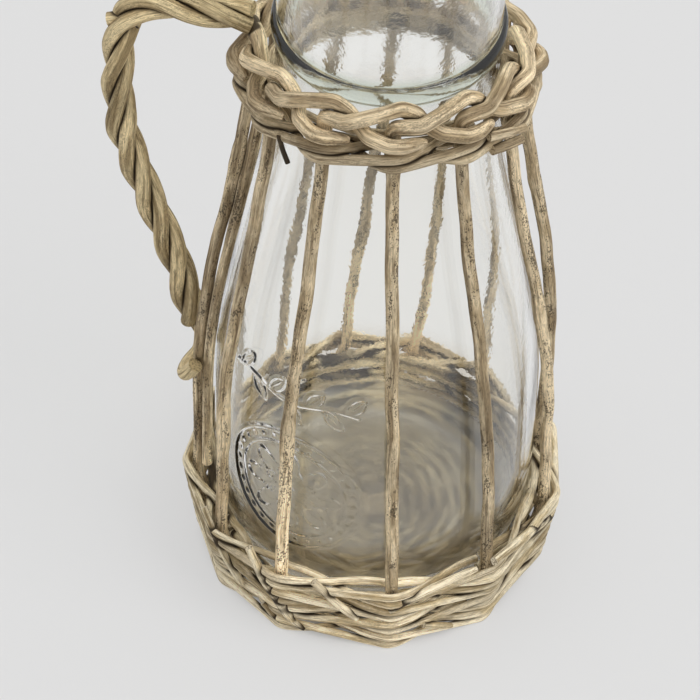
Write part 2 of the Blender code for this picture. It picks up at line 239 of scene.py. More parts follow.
wallClimb = (cage["wallRodRadius"] + cage["wallSlack"] / 2) / math.sin(math.tau / 3)
wallPitch = 2 * (wallClimb + cage["wallRodRadius"]) + seatGap
wallFirst = wallPitch / 2 - cage["footFlat"]
wallLast = wallFirst + (cage["wallWales"] - 1) * wallPitch
wallRim = wallLast + wallPitch / 2
collarClimb = (cage["collarRodRadius"] + cage["collarSlack"] / 2) / math.sin(math.tau / 3)
collarLow = cage["collarMiddle"] - collarClimb - cage["collarRodRadius"] - seatGap
collarTop = cage["collarMiddle"] + collarClimb + cage["collarRodRadius"] + seatGap
borderLow = collarTop + cage["borderRodRadius"]


def ease(z, low, high):
    # 1 below low, 0 above high
    share = min(max((z - low) / (high - low), 0.0), 1.0)
    return (1 + math.cos(math.pi * share)) / 2


def glassRadius(z):
    # outside of the glass below its neck ring
    body, neck = glass["bodyRadius"], glass["neckRadius"]
    if z < heelTop:
        drop = min((heelTop - z) / glass["heelHeight"], 1.0)
        return body - glass["heelDepth"] * (1 - math.sqrt(1 - drop * drop))
    return neck + (body - neck) * ease(z, glass["shoulderLow"], glass["shoulderHigh"])


rimStakeRadius = glassRadius(wallRim) + seatGap + cage["wallRodRadius"] + wallReach
collarStakeRadius = (glassRadius(cage["collarMiddle"]) + seatGap
                     + cage["collarRodRadius"] + collarReach)


def cageRadius(z):
    # distance of the stakes' centre lines from the axis
    if z < wallLast:
        return rimStakeRadius - cage["footFlare"] * (wallLast - z) / wallLast
    low, high, middle = glass["shoulderLow"], cage["bendHigh"], cage["collarMiddle"]
    leftAtCollar = ease(middle, low, high)
    share = (ease(min(z, middle), low, high) - leftAtCollar) / (1 - leftAtCollar)
    return collarStakeRadius + (rimStakeRadius - collarStakeRadius) * share


def polar(azimuth, radius, z):
    return np.array((radius * math.sin(azimuth), -radius * math.cos(azimuth), z))


def collarDrop(azimuth):
    # how far the collar hangs below its front
    return cage["collarDrop"] * (1 - math.cos(azimuth)) / 2


def stakeAzimuth(number, z):
    which = number % stakeCount
    top = math.radians(cage["firstStake"] + cage["stakeShifts"][which]) + number * stakePitch
    middle = cage["collarMiddle"] - collarDrop(top)
    share = min(max((middle - z) / (middle - wallRim), 0.0), 1.0)
    return top + math.radians(cage["stakeLeans"][which]) * share


def collarAzimuth(place):
    near = stakeAzimuth(math.floor(place), cage["collarMiddle"])
    far = stakeAzimuth(math.floor(place) + 1, cage["collarMiddle"])
    return near + (far - near) * (place - math.floor(place))


lineStep = 0.0008  # between the points of a rod's line
floorStep = 0.001  # for rods that are hardly seen
tipPower = 0.6  # rounds a whittled tip


def lengthsAlong(points):
    steps = np.linalg.norm(np.diff(points, axis=0), axis=1)
    return np.concatenate(([0.0], np.cumsum(steps)))


def evenLine(points, step):
    # the same line with points a step apart
    points = np.asarray(points, float)
    lengths = lengthsAlong(points)
    count = max(int(round(lengths[-1] / step)), 2) + 1
    places = np.linspace(0.0, lengths[-1], count)
    return np.column_stack([np.interp(places, lengths, points[:, k]) for k in range(3)])


def softLine(points, passes, step=lineStep):
    # the line with its corners rounded, by averaging each point with its neighbours
    line = evenLine(points, step)
    for _ in range(passes):
        line[1:-1] = (line[:-2] + 2 * line[1:-1] + line[2:]) / 4
    return evenLine(line, step)


def wander(line, amount, wavelength, seed, fadeLength=0.012):
    # slow seeded drift of a line, nothing at its two ends
    draw = random.Random(seed)
    along = lengthsAlong(line)
    fade = np.minimum(1.0, np.minimum(along, along[-1] - along) / fadeLength)
    moved = line.copy()
    for axis in range(3):
        drift = np.zeros(len(line))
        for part in range(3):
            wave = wavelength / (1.0 + 0.8 * part) * draw.uniform(0.8, 1.25)
            drift += np.sin(along * math.tau / wave + draw.uniform(0, math.tau)) / (1.5 + part)
        moved[:, axis] += drift * fade * amount
    return moved


def taper(line, radius, start=1.0, end=1.0, tipLength=0.0, tip=0.4):
    # thickness along a line: from start to end shares of the radius, with a whittled tip
    share = np.linspace(0.0, 1.0, len(line))
    thickness = radius * (start + (end - start) * share)
    if tipLength:
        length = np.linalg.norm(np.diff(line, axis=0), axis=1).sum()
        left = (1 - share) * length / tipLength
        thickness *= tip + (1 - tip) * np.clip(left, 0, 1) ** tipPower
    return thickness


def unit(rows):
    return rows / np.linalg.norm(rows, axis=1)[:, None]


rodSkin = {  # inputs of the rod tree that all rods share
    "Step": 0.0007,
    "Sides": 14,
    "Lumps": 0.06,
    "Lump Scale": 90.0,
    "Knot Scale": 34.0,
    "Ridges": 0.00008,
}


def captured(tree, geometry, kind, name, value):
    node = addNode(tree, "GeometryNodeCaptureAttribute", {"Geometry": geometry})
    node.capture_items.new(kind, name)
    tree.links.new(value, node.inputs[name])
    return node.outputs["Geometry"], node.outputs[name]


def stored(tree, mesh, name, value, kind="FLOAT", domain="POINT"):
    return addNode(tree, "GeometryNodeStoreNamedAttribute",
                   {"Geometry": mesh, "Name": name, "Value": value},
                   data_type=kind, domain=domain).outputs[0]


def makeRodTree():
    # lines with a thickness in, closed rods with bark coordinates out
    tree = bpy.data.node_groups.new("willowRod", "GeometryNodeTree")
    addSockets(tree, "INPUT", {
        "Geometry": ("Lines",), "Int": ("Sides",), "Vector": ("Bark Offset",),
        "Float": ("Step", "Lumps", "Lump Scale", "Knot Scale", "Ridges", "Flatness", "Shade"),
        "Material": ("Finish",)})
    addSockets(tree, "OUTPUT", {"Geometry": ("Rods",)})
    given = addNode(tree, "NodeGroupInput").outputs
    ridgeStretch = (700.0, 700.0, 60.0)  # across, across and along the rod

    curve = addNode(tree, "GeometryNodeMeshToCurve", {"Mesh": given["Lines"]}).outputs["Curve"]
    curve = addNode(tree, "GeometryNodeResampleCurve",
                    {"Curve": curve, "Length": given["Step"]}, mode="LENGTH").outputs["Curve"]
    along = addNode(tree, "GeometryNodeSplineParameter").outputs["Length"]
    thickness = addNode(tree, "GeometryNodeInputNamedAttribute", {"Name": "thickness"},
                        data_type="FLOAT").outputs["Attribute"]
    offset = addNode(tree, "ShaderNodeSeparateXYZ", {0: given["Bark Offset"]}).outputs

    # slow swellings along the rod, and now and then a knot
    place = calc(tree, "ADD", calc(tree, "MULTIPLY", along, given["Lump Scale"]), offset[0])
    swell = swing(tree, noise(tree, vectorOf(tree, place, offset[1])), given["Lumps"])
    place = calc(tree, "MULTIPLY_ADD", along, given["Knot Scale"], offset[1])
    knot = rise(tree, noise(tree, vectorOf(tree, place, offset[0]), 0.0), 0.66, 0.74, 0.16)
    radius = calc(tree, "ADD", calc(tree, "ADD", swell, knot), 1.0)
    radius = calc(tree, "MULTIPLY", thickness, radius)

    # what the rod's skin needs to know of its centre line
    tangent = addNode(tree, "GeometryNodeInputTangent").outputs[0]
    position = addNode(tree, "GeometryNodeInputPosition").outputs[0]
    outward = vectorCalc(tree, "NORMALIZE", vectorCalc(tree, "MULTIPLY", position, (1.0, 1.0, 0.0)))
    lengthwise = scaled(tree, tangent, vectorCalc(tree, "DOT_PRODUCT", outward, tangent))
    outward = vectorCalc(tree, "NORMALIZE", vectorCalc(tree, "SUBTRACT", outward, lengthwise))
    kept = {}
    for name, kind, value in (("along", "FLOAT", along), ("radius", "FLOAT", radius),
                              ("centre", "VECTOR", position), ("outward", "VECTOR", outward)):
        curve, kept[name] = captured(tree, curve, kind, name, value)
    circle = addNode(tree, "GeometryNodeCurvePrimitiveCircle",
                     {"Resolution": given["Sides"], "Radius": 1.0}, mode="RADIUS").outputs["Curve"]
    circle, around = captured(tree, circle, "VECTOR", "around", position)
    mesh = addNode(tree, "GeometryNodeCurveToMesh",
                   {"Curve": curve, "Profile Curve": circle, "Scale": kept["radius"],
                    "Fill Caps": True}).outputs[0]

    # bark coordinates: across the rod, across the rod, along the rod
    bark = vectorCalc(tree, "ADD", scaled(tree, around, kept["radius"]),
                      vectorOf(tree, 0.0, 0.0, kept["along"]))
    bark = vectorCalc(tree, "ADD", bark, given["Bark Offset"])
    mesh = stored(tree, mesh, "barkCoord", bark, "FLOAT_VECTOR")

    # pressed a little flat towards the glass, then ridged lengthwise
    arm = vectorCalc(tree, "SUBTRACT", position, kept["centre"])
    depth = vectorCalc(tree, "DOT_PRODUCT", arm, kept["outward"])
    squeeze = scaled(tree, kept["outward"], calc(tree, "MULTIPLY", depth, given["Flatness"]))
    widen = scaled(tree, arm, calc(tree, "MULTIPLY", given["Flatness"], 0.45))
    ridges = noise(tree, vectorCalc(tree, "MULTIPLY", bark, ridgeStretch), 3.0, 0.6)
    ridges = scaled(tree, vectorCalc(tree, "NORMALIZE", arm), swing(tree, ridges, given["Ridges"]))
    move = vectorCalc(tree, "ADD", vectorCalc(tree, "SUBTRACT", widen, squeeze), ridges)
    mesh = addNode(tree, "GeometryNodeSetPosition", {"Geometry": mesh, "Offset": move}).outputs[0]

    # the two cut ends are the only faces with many corners
    corners = addNode(tree, "GeometryNodeCornersOfFace").outputs["Total"]
    cut = addNode(tree, "FunctionNodeCompare", {2: corners, 3: 5},
                  data_type="INT", operation="GREATER_THAN").outputs[0]
    mesh = stored(tree, mesh, "cutEnd", cut, domain="FACE")
    mesh = stored(tree, mesh, "rodShade", given["Shade"])
    side = addNode(tree, "FunctionNodeBooleanMath", {0: cut}, operation="NOT").outputs[0]
    for kind, values in (("GeometryNodeSetShadeSmooth", {"Shade Smooth": side}),
                         ("GeometryNodeRealizeInstances", {}),
                         ("GeometryNodeSetMaterial", {"Material": given["Finish"]})):
        mesh = addNode(tree, kind, {"Geometry": mesh, **values}).outputs[0]
    addNode(tree, "NodeGroupOutput", {"Rods": mesh})
    return tree


barkPatterns = {  # noises a metre across and along the rod, then detail and roughness
    "grain": (1500.0, 62.0, 5.0, 0.62),
    "fibre": (3600.0, 420.0, 3.0, 0.65),
    "streak": (420.0, 24.0, 2.0, 0.5),
    "patch": (250.0, 85.0, 3.0, 0.6),
    "drift": (60.0, 30.0, 2.0, 0.5),
    "crowd": (300.0, 75.0, 3.0, 0.6),
    "uneven": (1100.0, 700.0, 2.0, 0.5),
    "scar": (900.0, 330.0, 3.0, 0.6),
}

barkBump = {"Distance": 0.00018, "Strength": 0.9}

barkStainsAndShade = {
    "speck": srgb(58, 48, 36),
    # the two dirt colours also paint shade where rods meet and under them
    "faintDirtAndShade": srgb(96, 79, 52),
    "dirtAndShade": srgb(54, 43, 27),
}

barkReads = {  # inputs of the bark, and the attributes of a rod that feed them
    "Coord": "barkCoord", "Shade": "rodShade", "Crevice Shade": "creviceShade",
    "Cut End": "cutEnd", "Pale And Painted Light": "bleach", "Speckle": "speckle",
}

willowFinishes = {
    "stakeWillow": {
        "slot": "stake_willow", "Scrapes": 0.85, "Specks": 0.95, "Dirt And Shade": 0.90,
        "Bark Colour": srgb(188, 167, 132), "Pale Colour": srgb(232, 213, 178),
        "Dark Colour": srgb(98, 80, 56), "Cut Colour": srgb(204, 186, 152),
    },
    "weaverWillow": {
        "slot": "weaver_willow", "Scrapes": 0.95, "Specks": 0.22, "Dirt And Shade": 1.0,
        "Bark Colour": srgb(210, 192, 154), "Pale Colour": srgb(245, 232, 202),
        "Dark Colour": srgb(118, 97, 64), "Cut Colour": srgb(246, 234, 208),
    },
    "borderWillow": {
        "slot": "stake_willow", "Scrapes": 0.95, "Specks": 0.30, "Dirt And Shade": 1.0,
        "Bark Colour": srgb(190, 170, 136), "Pale Colour": srgb(232, 214, 180),
        "Dark Colour": srgb(100, 82, 58), "Cut Colour": srgb(206, 188, 154),
    },
    "darkWillow": {
        "slot": "stake_willow", "Scrapes": 0.3, "Specks": 0.2, "Dirt And Shade": 0.8,
        "Bark Colour": srgb(66, 54, 38), "Pale Colour": srgb(92, 78, 56),
        "Dark Colour": srgb(40, 32, 22), "Cut Colour": srgb(70, 58, 42),
    },
    "handleWillow": {
        "slot": "handle_willow", "Scrapes": 0.90, "Specks": 0.40, "Dirt And Shade": 1.0,
        "Bark Colour": srgb(188, 166, 125), "Pale Colour": srgb(232, 212, 168),
        "Dark Colour": srgb(94, 76, 46), "Cut Colour": srgb(198, 176, 134),
    },
}


def makeBarkGroup():
    # weathered willow: long grain, pale scrapes, black specks, dirt and painted shade where rods
    # meet and under them
    group = bpy.data.node_groups.new("willowBark", "ShaderNodeTree")
    addSockets(group, "INPUT", {
        "Vector": ("Coord",),
        "Float": ("Shade", "Crevice Shade", "Cut End", "Pale And Painted Light", "Speckle", "Scrapes", "Specks", "Dirt And Shade"),
        "Color": ("Bark Colour", "Pale Colour", "Dark Colour", "Cut Colour")})
    addSockets(group, "OUTPUT", {"Color": ("Colour",), "Float": ("Roughness", "Height")})
    given = addNode(group, "NodeGroupInput").outputs

    def stretched(across, along):
        return vectorCalc(group, "MULTIPLY", given["Coord"], (across, across, along))

    grain, fibre, streak, patch, drift, crowd, uneven, scar = (
        noise(group, stretched(across, along), detail, roughness)
        for across, along, detail, roughness in barkPatterns.values())

    # scraped places, more of them where the rod is paler at the foot and border or has painted
    # light, then darker drifts, streaks and grooves
    scrape = stirred(group, stirred(group, patch, streak, 0.7), given["Shade"], 0.16)
    scrape = calc(group, "MULTIPLY_ADD", given["Pale And Painted Light"], 0.16, scrape)
    scrape = calc(group, "MULTIPLY", rise(group, scrape, 0.38, 0.62), given["Scrapes"])
    colour = blendColour(group, scrape, given["Bark Colour"], given["Pale Colour"])
    for darker in (rise(group, drift, 0.46, 0.70, 0.50),
                   calc(group, "MULTIPLY", fall(group, streak, 0.34, 0.50), 0.50),
                   calc(group, "MULTIPLY", fall(group, grain, 0.36, 0.50), 0.68)):
        colour = blendColour(group, darker, colour, given["Dark Colour"])
    colour = dimmed(group, colour, calc(group, "MULTIPLY_ADD", fibre, 1.90, 0.07))

    # crowds of small dark dots, and a few larger scars
    dots = addNode(group, "ShaderNodeTexVoronoi",
                   {"Vector": stretched(2100.0, 1300.0), "Scale": 1.0}).outputs["Distance"]
    dots = stirred(group, dots, uneven, 0.9)
    dots = calc(group, "SUBTRACT", rise(group, crowd, 0.36, 0.68, 0.58), dots)
    scars = rise(group, stirred(group, scar, crowd, 0.40), 0.62, 0.72, 0.75)
    speck = calc(group, "MAXIMUM", rise(group, dots, -0.06, 0.14, 0.85), scars)
    amount = calc(group, "MULTIPLY", given["Specks"], given["Speckle"])
    speck = calc(group, "MULTIPLY", speck, amount, clamp=True)
    colour = blendColour(group, speck, colour, barkStainsAndShade["speck"])

    # the rod's own tone, lifted by its paleness and painted light, dirt with painted shade where
    # rods meet and under them, and the wood of its cut ends
    tone = calc(group, "MULTIPLY_ADD", given["Shade"], 0.32, 0.84)
    colour = dimmed(group, colour, calc(group, "MULTIPLY_ADD", given["Pale And Painted Light"], 0.90, tone))
    # dirt from the patch noise, and painted shade from the crevice shade attribute
    dirtAndShade = calc(group, "ADD", given["Crevice Shade"], calc(group, "MULTIPLY_ADD", patch, 0.6, -0.34))
    for stain, low, high, top in (("faintDirtAndShade", 0.15, 0.60, 0.45), ("dirtAndShade", 0.44, 0.84, 1.0)):
        share = calc(group, "MULTIPLY", rise(group, dirtAndShade, low, high, top), given["Dirt And Shade"])
        colour = blendColour(group, share, colour, barkStainsAndShade[stain])
    wood = rise(group, grain, 0.44, 0.62)
    wood = blendColour(group, wood, given["Cut Colour"], given["Dark Colour"])
    colour = blendColour(group, calc(group, "MULTIPLY", given["Cut End"], 0.85), colour, wood)

    height = calc(group, "ADD", calc(group, "MULTIPLY", grain, 0.7),
                  calc(group, "MULTIPLY", fibre, 0.3))
    height = calc(group, "SUBTRACT", height, calc(group, "MULTIPLY", speck, 0.30))
    rough = calc(group, "MULTIPLY_ADD", grain, -0.30, 0.86)
    addNode(group, "NodeGroupOutput", {"Colour": colour, "Roughness": rough, "Height": height})
    return group


def makeWillow(name, barkGroup):
    material, tree, shader = newMaterial(name)
    values = {key: value for key, value in willowFinishes[name].items() if key != "slot"}
    for key, attribute in barkReads.items():
        read = addNode(tree, "ShaderNodeAttribute", attribute_name=attribute)
        values[key] = read.outputs["Vector" if key == "Coord" else "Fac"]
    bark = addNode(tree, "ShaderNodeGroup", values, node_tree=barkGroup)
    bump = addNode(tree, "ShaderNodeBump", {"Height": bark.outputs["Height"], **barkBump})
    fillSockets(tree, shader, {
        "Base Color": bark.outputs["Colour"], "Roughness": bark.outputs["Roughness"],
        "Normal": bump.outputs["Normal"], "Specular IOR Level": 0.28})
    return material


glassLook = {
    "ior": 1.50,
    "colour": (1.0, 1.0, 0.985, 1.0),
    "footColour": (0.90, 0.895, 0.87, 1.0),
    "heelShadeColour": (0.84, 0.80, 0.73, 1.0),
    "frontShadeColour": (0.56, 0.51, 0.42, 1.0),
    "ringColour": (0.80, 0.86, 0.79, 1.0),
    "lampColour": (0.90, 0.91, 0.89, 1.0),  # of the light that passes
    "roughness": 0.012,
    "footRoughness": 0.46,
    "neckRoughness": 0.06,
    "ringRoughness": 0.05,
    "rippleScale": 520.0,
    "rippleDepth": 0.000012,
    "neckDepth": 0.00004,
    # the heights at which these change
    "clearing": (0.007, 0.028),
    "footTint": (0.008, 0.034),
    "heelShadeBand": (0.013, 0.017, 0.030, 0.044),
    "frontShadeBand": (0.022, 0.029, 0.0325, 0.0365),
    "neckRipples": (0.195, 0.215),
    "neckHaze": (0.213, 0.222),
    "ringEdge": (0.003, 0.006),  # from the ring's middle
    "shadeFront": (0.005, -0.020),  # along Y
}


def makeGlassFinish():
    look = glassLook
    material, tree, shader = newMaterial("clearGlass")
    coord = addNode(tree, "ShaderNodeTexCoord").outputs["Object"]
    _, depth, height = addNode(tree, "ShaderNodeSeparateXYZ", {0: coord}).outputs
    ripple = noise(tree, scaled(tree, coord, look["rippleScale"]))
    more = rise(tree, height, *look["neckRipples"], look["neckDepth"] / look["rippleDepth"] - 1)
    ripple = calc(tree, "MULTIPLY", ripple, calc(tree, "ADD", 1.0, more))
    bump = addNode(tree, "ShaderNodeBump",
                   {"Height": ripple, "Distance": look["rippleDepth"], "Strength": 1.0})

    # the thick foot is cloudy, so the woven floor shows only dimly through it
    rough = calc(tree, "MULTIPLY_ADD", rise(tree, height, *look["clearing"]),
                 look["roughness"] - look["footRoughness"], look["footRoughness"])
    rough = calc(tree, "ADD", rough, rise(tree, height, *look["neckHaze"], look["neckRoughness"]))
    tint = rise(tree, height, *look["footTint"])
    tint = blendColour(tree, tint, look["footColour"], look["colour"])
    # painted shade: a brownish band round the heel
    tint = blendColour(tree, band(tree, height, *look["heelShadeBand"]), tint, look["heelShadeColour"])
    # painted shade, brown, along the front of the heel, where the wall's upper weavers lie against
    # it
    frontShade = calc(tree, "MULTIPLY", band(tree, height, *look["frontShadeBand"]),
                  rise(tree, depth, *look["shadeFront"]))
    tint = blendColour(tree, frontShade, tint, look["frontShadeColour"])
    ring = calc(tree, "ABSOLUTE", calc(tree, "SUBTRACT", height, glass["ringMiddle"]))
    ring = fall(tree, ring, *look["ringEdge"])
    tint = blendColour(tree, ring, tint, look["ringColour"])
    rough = calc(tree, "MULTIPLY_ADD", ring, look["ringRoughness"], rough)
    fillSockets(tree, shader, {
        "Base Color": tint, "Roughness": rough, "Normal": bump.outputs["Normal"],
        "IOR": look["ior"], "Transmission Weight": 1.0})
    # rays from the lamps pass, so that the willow inside and behind is lit
    lampRay = addNode(tree, "ShaderNodeLightPath").outputs["Is Shadow Ray"]
    mixSurface(tree, lampRay, shader,
               addNode(tree, "ShaderNodeBsdfTransparent", {"Color": look["lampColour"]}))
    return material


rodTree = makeRodTree()
barkGroup = makeBarkGroup()
willow = {name: makeWillow(name, barkGroup) for name in willowFinishes}
clearGlass = makeGlassFinish()
print("materials ready")


rods = {}  # first all their lines are laid, then each gets its skin


def addRod(name, finish, seed, lines, node=None, **skin):
    # lines come with their thicknesses, skin holds shade, flatness, and weather with painted light
    # and shade
    rods[name] = {"node": node, "finish": finish, "seed": seed, "lines": lines, "skin": skin}


def addLine(name, line, thickness):
    rods[name]["lines"].append((line, thickness))


stakeLook = {
    "route": (  # stake pitches on, then rod pitches outward and up from the border's lowest rod
        (0.00, 0.00, 0.00),
        (0.00, 0.00, 0.80),
        (0.08, 0.20, 1.10),
        (0.35, 0.60, 1.34),
        (0.66, 0.20, 1.76),
        (1.12, -0.45, 1.98),
        (1.34, -0.45, 1.45),
        (1.48, -0.40, 0.62),
        (1.66, 0.45, 0.40),
        (1.94, 1.08, 0.28),
        (2.10, 1.06, 0.25),
        (2.28, 0.80, 0.20),
        (2.42, 0.60, 0.05),
    ),
    "body": (0.97, 1.06),  # shares of the CAD's radius to draw from
    "border": (1.0, 1.06),
    "blend": 15,  # points over which the body becomes the border
    "tipLength": 0.007,
    "tip": 0.45,
    "drift": (0.00022, 0.055),  # amount and wavelength
    "shade": (0.35, 0.85),
    # shade, and paleness at the foot, of the stakes that differ; partly painted light: the stake
    # that faces away from the lamps is made much paler
    "weatheredAndLit": {0: (0.50, 0.15), 1: (0.20, 0.10), 2: (1.0, 0.3), 11: (0.55, 1.7)},
    "skin": {"flatness": 0.06, "borderPale": 0.22},
}


def layStakes():
    # uprights whose tops fold over and are braided round the collar
    look = stakeLook
    draw = random.Random(11)
    for number in range(stakeCount):
        middle = cage["collarMiddle"] - collarDrop(collarAzimuth(number))
        heights = [cage["stakeRadius"], wallLast, *np.linspace(glass["shoulderLow"], middle, 24)]
        points = [polar(stakeAzimuth(number, z), cageRadius(z), z) for z in heights]
        for pitches, out, up in look["route"]:
            azimuth = collarAzimuth(number + pitches)
            drop = collarDrop(azimuth)
            radius = cageRadius(cage["collarMiddle"] - drop) + out * borderPitch
            points.append(polar(azimuth, radius, borderLow + up * borderPitch - drop))
        line = wander(softLine(points, 2), *look["drift"], 100 + number)
        share = np.linspace(0, 1, len(line))
        bodyShare = (middle - heights[0]) / (lineStep * len(line))
        body = cage["stakeRadius"] * draw.uniform(*look["body"])
        border = cage["borderRodRadius"] * draw.uniform(*look["border"])
        thickness = np.where(share < bodyShare, body, border)
        thickness = np.pad(thickness, look["blend"] // 2, mode="edge")
        thickness = np.convolve(thickness, np.ones(look["blend"]) / look["blend"], mode="valid")
        left = (1 - share) * len(line) * lineStep / look["tipLength"]
        thickness *= look["tip"] + (1 - look["tip"]) * np.clip(left, 0, 1) ** tipPower
        shade, bleach = look["weatheredAndLit"].get(number, (draw.uniform(*look["shade"]), 1))
        node = f"stake_{number + 1:02d}"
        addRod(f"{node}_rod", "stakeWillow", 200 + number, [(line, thickness)], node,
               shade=shade, bleach=bleach, **look["skin"])


def waleLine(middle, climb, reach, straightness, twist, phase, gap, jitter, seed, hangs=False):
    # outside two stakes, then inside one, from one inside place round to the same place again
    steps = 14
    draw = random.Random(seed)
    lift = [draw.uniform(-jitter, jitter) for _ in range(stakeCount + 2)]
    points = []
    for i in range(round((stakeCount - 2 * gap) * steps) + 1):
        place = phase + gap + i / steps
        number = math.floor(place)
        share = place - number
        first = number - phase
        nearSide, farSide = (-1 if later % 3 == 0 else 1 for later in (first, first + 1))
        before, after = (math.sin(later * math.tau / 3) for later in (first, first + 1))
        z = middle + twist * climb * (before + (after - before) * share)
        near = stakeAzimuth(number, z)
        half = (stakeAzimuth(number + 1, z) - near) / 2
        turn = 2 * half * share
        if hangs:
            z -= collarDrop(near + turn)
        side = nearSide + (farSide - nearSide) * (1 - math.cos(math.pi * share)) / 2
        sag = 1 - math.cos(half) / math.cos(turn - half)
        radius = (cageRadius(z) + side * reach) * (1 - straightness * sag)
        z += lift[first] + (lift[first + 1] - lift[first]) * share
        points.append(polar(near + turn, radius, z))
    return points


weaverGap = 0.05  # stake pitches left free at each end of a weaver

wallLook = {
    "straightness": 0.98,  # 1 runs straight from stake to stake, 0 round the circle
    "jitter": 0.00035,
    "footJitter": 0.0001,  # of the row that stands on the ground
    "thickness": (0.80, 0.96),
    "ends": (1.06, 0.92),
    "backThicker": 0.22,
    "backDepth": 0.03,  # along Y, where the back has its full thickness
    "innerArc": (62, 301, 3),  # degrees that show from the front through the glass
    "innerThickness": 0.9,
    "innerGap": 0.0002,
    # painted shade: it reaches further from the next rod, and darkens the foot's sides, most on the
    # right
    "skin": {"flatness": 0.08, "bleach": 0.6, "shadeReach": 0.0020, "sideShade": 0.80},
}

strayLook = {
    "ends": (  # rod, radius as a share, then degrees and heights along it
        ("1a", 1.00, ((-39.5, 0.0345), (-34.2, 0.0236), (-25.0, 0.0072))),
        ("1b", 0.95, ((-17.5, 0.0300), (-10.2, 0.0212), (-3.5, 0.0150))),
        ("1c", 1.15, ((40.0, 0.0312), (55.0, 0.0290), (79.0, 0.0175))),
        ("2a", 0.90, ((6.0, 0.0215), (20.0, 0.0290), (34.0, 0.0315))),
        ("2b", 0.70, ((-36.0, 0.0095), (-30.0, 0.0038))),
        ("2c", 0.70, ((-27.0, 0.0085), (-21.5, 0.0036))),
        ("3a", 0.80, ((18.0, 0.0095), (28.6, 0.0042))),
        ("3b", 0.90, ((-62.0, 0.0330), (-52.0, 0.0215), (-44.0, 0.0120))),
    ),
    "standOff": 0.0013,
    "most": 0.0001,  # beyond the weavers' corners at the stakes
    "taper": (0.9, 1.0, 0.003, 0.6),  # start, end, length and share of the tip
}


def layWall():
    # four rows of a three-rod wale round the foot
    look = wallLook
    draw = random.Random(21)
    for row in range(cage["wallWales"]):
        middle = wallFirst + row * wallPitch
        twist = 1 if row % 2 == 0 else -1
        jitter = look["footJitter"] if row == 0 else look["jitter"]
        for phase in range(3):
            seed = 300 + 3 * row + phase
            line = softLine(waleLine(middle, wallClimb, wallReach, look["straightness"], twist,
                                     phase, weaverGap, jitter, seed), 1)
            line[:, 2] = np.maximum(line[:, 2], cage["wallRodRadius"])
            radius = cage["wallRodRadius"] * draw.uniform(*look["thickness"])
            thickness = taper(line, radius, *look["ends"])
            thickness *= 1 + look["backThicker"] * np.clip(line[:, 1] / look["backDepth"], 0, 1)
            node = f"wall_rod_{row + 1}{'abc'[phase]}"
            addRod(f"{node}_weave", "weaverWillow", seed, [(line, thickness)], node,
                   shade=draw.uniform(0.0, 1.0), **look["skin"])
        # the inner weavers that close the wall
        for level in (0.0, 0.5) if row < cage["wallWales"] - 1 else (0.0,):
            z = middle + level * wallPitch
            line = softLine([
                polar(math.radians(degrees), cageRadius(z) - wallReach + look["innerGap"], z)
                for degrees in range(*look["innerArc"])], 1, floorStep)
            addLine(f"wall_rod_{row + 1}c_weave", line,
                    taper(line, cage["wallRodRadius"] * look["innerThickness"]))


def layStrays():
    # loose ends of weavers laid over the wale, each added to one of its rods
    for name, share, places in strayLook["ends"]:
        points = []
        for degrees, z in places:
            azimuth = math.radians(degrees)
            corner = cageRadius(z) + wallReach
            # in by the sag of the weavers between two stakes, but not on the far left
            number = max(n for n in range(-1, 7) if n < 0 or stakeAzimuth(n, z) <= azimuth)
            near = stakeAzimuth(number, z)
            half = (stakeAzimuth(number + 1, z) - near) / 2
            sag = 1 - math.cos(half) / math.cos(azimuth - near - half)
            radius = min(corner * (1 - sag) + strayLook["standOff"], corner + strayLook["most"])
            points.append(polar(azimuth, radius, z))
        line = softLine(points, 20)
        addLine(f"wall_rod_{name}_weave", line,
                taper(line, cage["wallRodRadius"] * share, *strayLook["taper"]))


collarLook = {
    "straightness": 0.55,
    "jitter": 0.0002,
    "thickness": (1.0, 1.1),
    "ends": (1.05, 0.95),
    "shade": (0.3, 0.7),
    "flatness": 0.10,
    "innerDepths": (1.95, 1.25, 0.5),  # rod pitches below the border's lowest rod
    "innerRadius": 0.0012,
    "innerGap": 0.0016,  # from the glass
    "innerDrift": (0.0002, 0.02),
    "cutEnds": (  # rod, thickness, then degrees, distance from the axis and height
        ("b", 0.90, ((41.3, 0.0440, 0.1956), (49.3, 0.0455, 0.1943), (58.5, 0.0460, 0.1913))),
        ("c", 1.00, ((43.3, 0.0440, 0.1897), (50.6, 0.0450, 0.1887), (57.9, 0.0455, 0.1871))),
    ),
    "splinter": ((-44.3, 0.0436, 0.1920), (-42.1, 0.0436, 0.1874), (-39.4, 0.0436, 0.1837)),
    "splinterRadius": 0.0008,
}


def placed(places):
    return [polar(math.radians(degrees), radius, z) for degrees, radius, z in places]


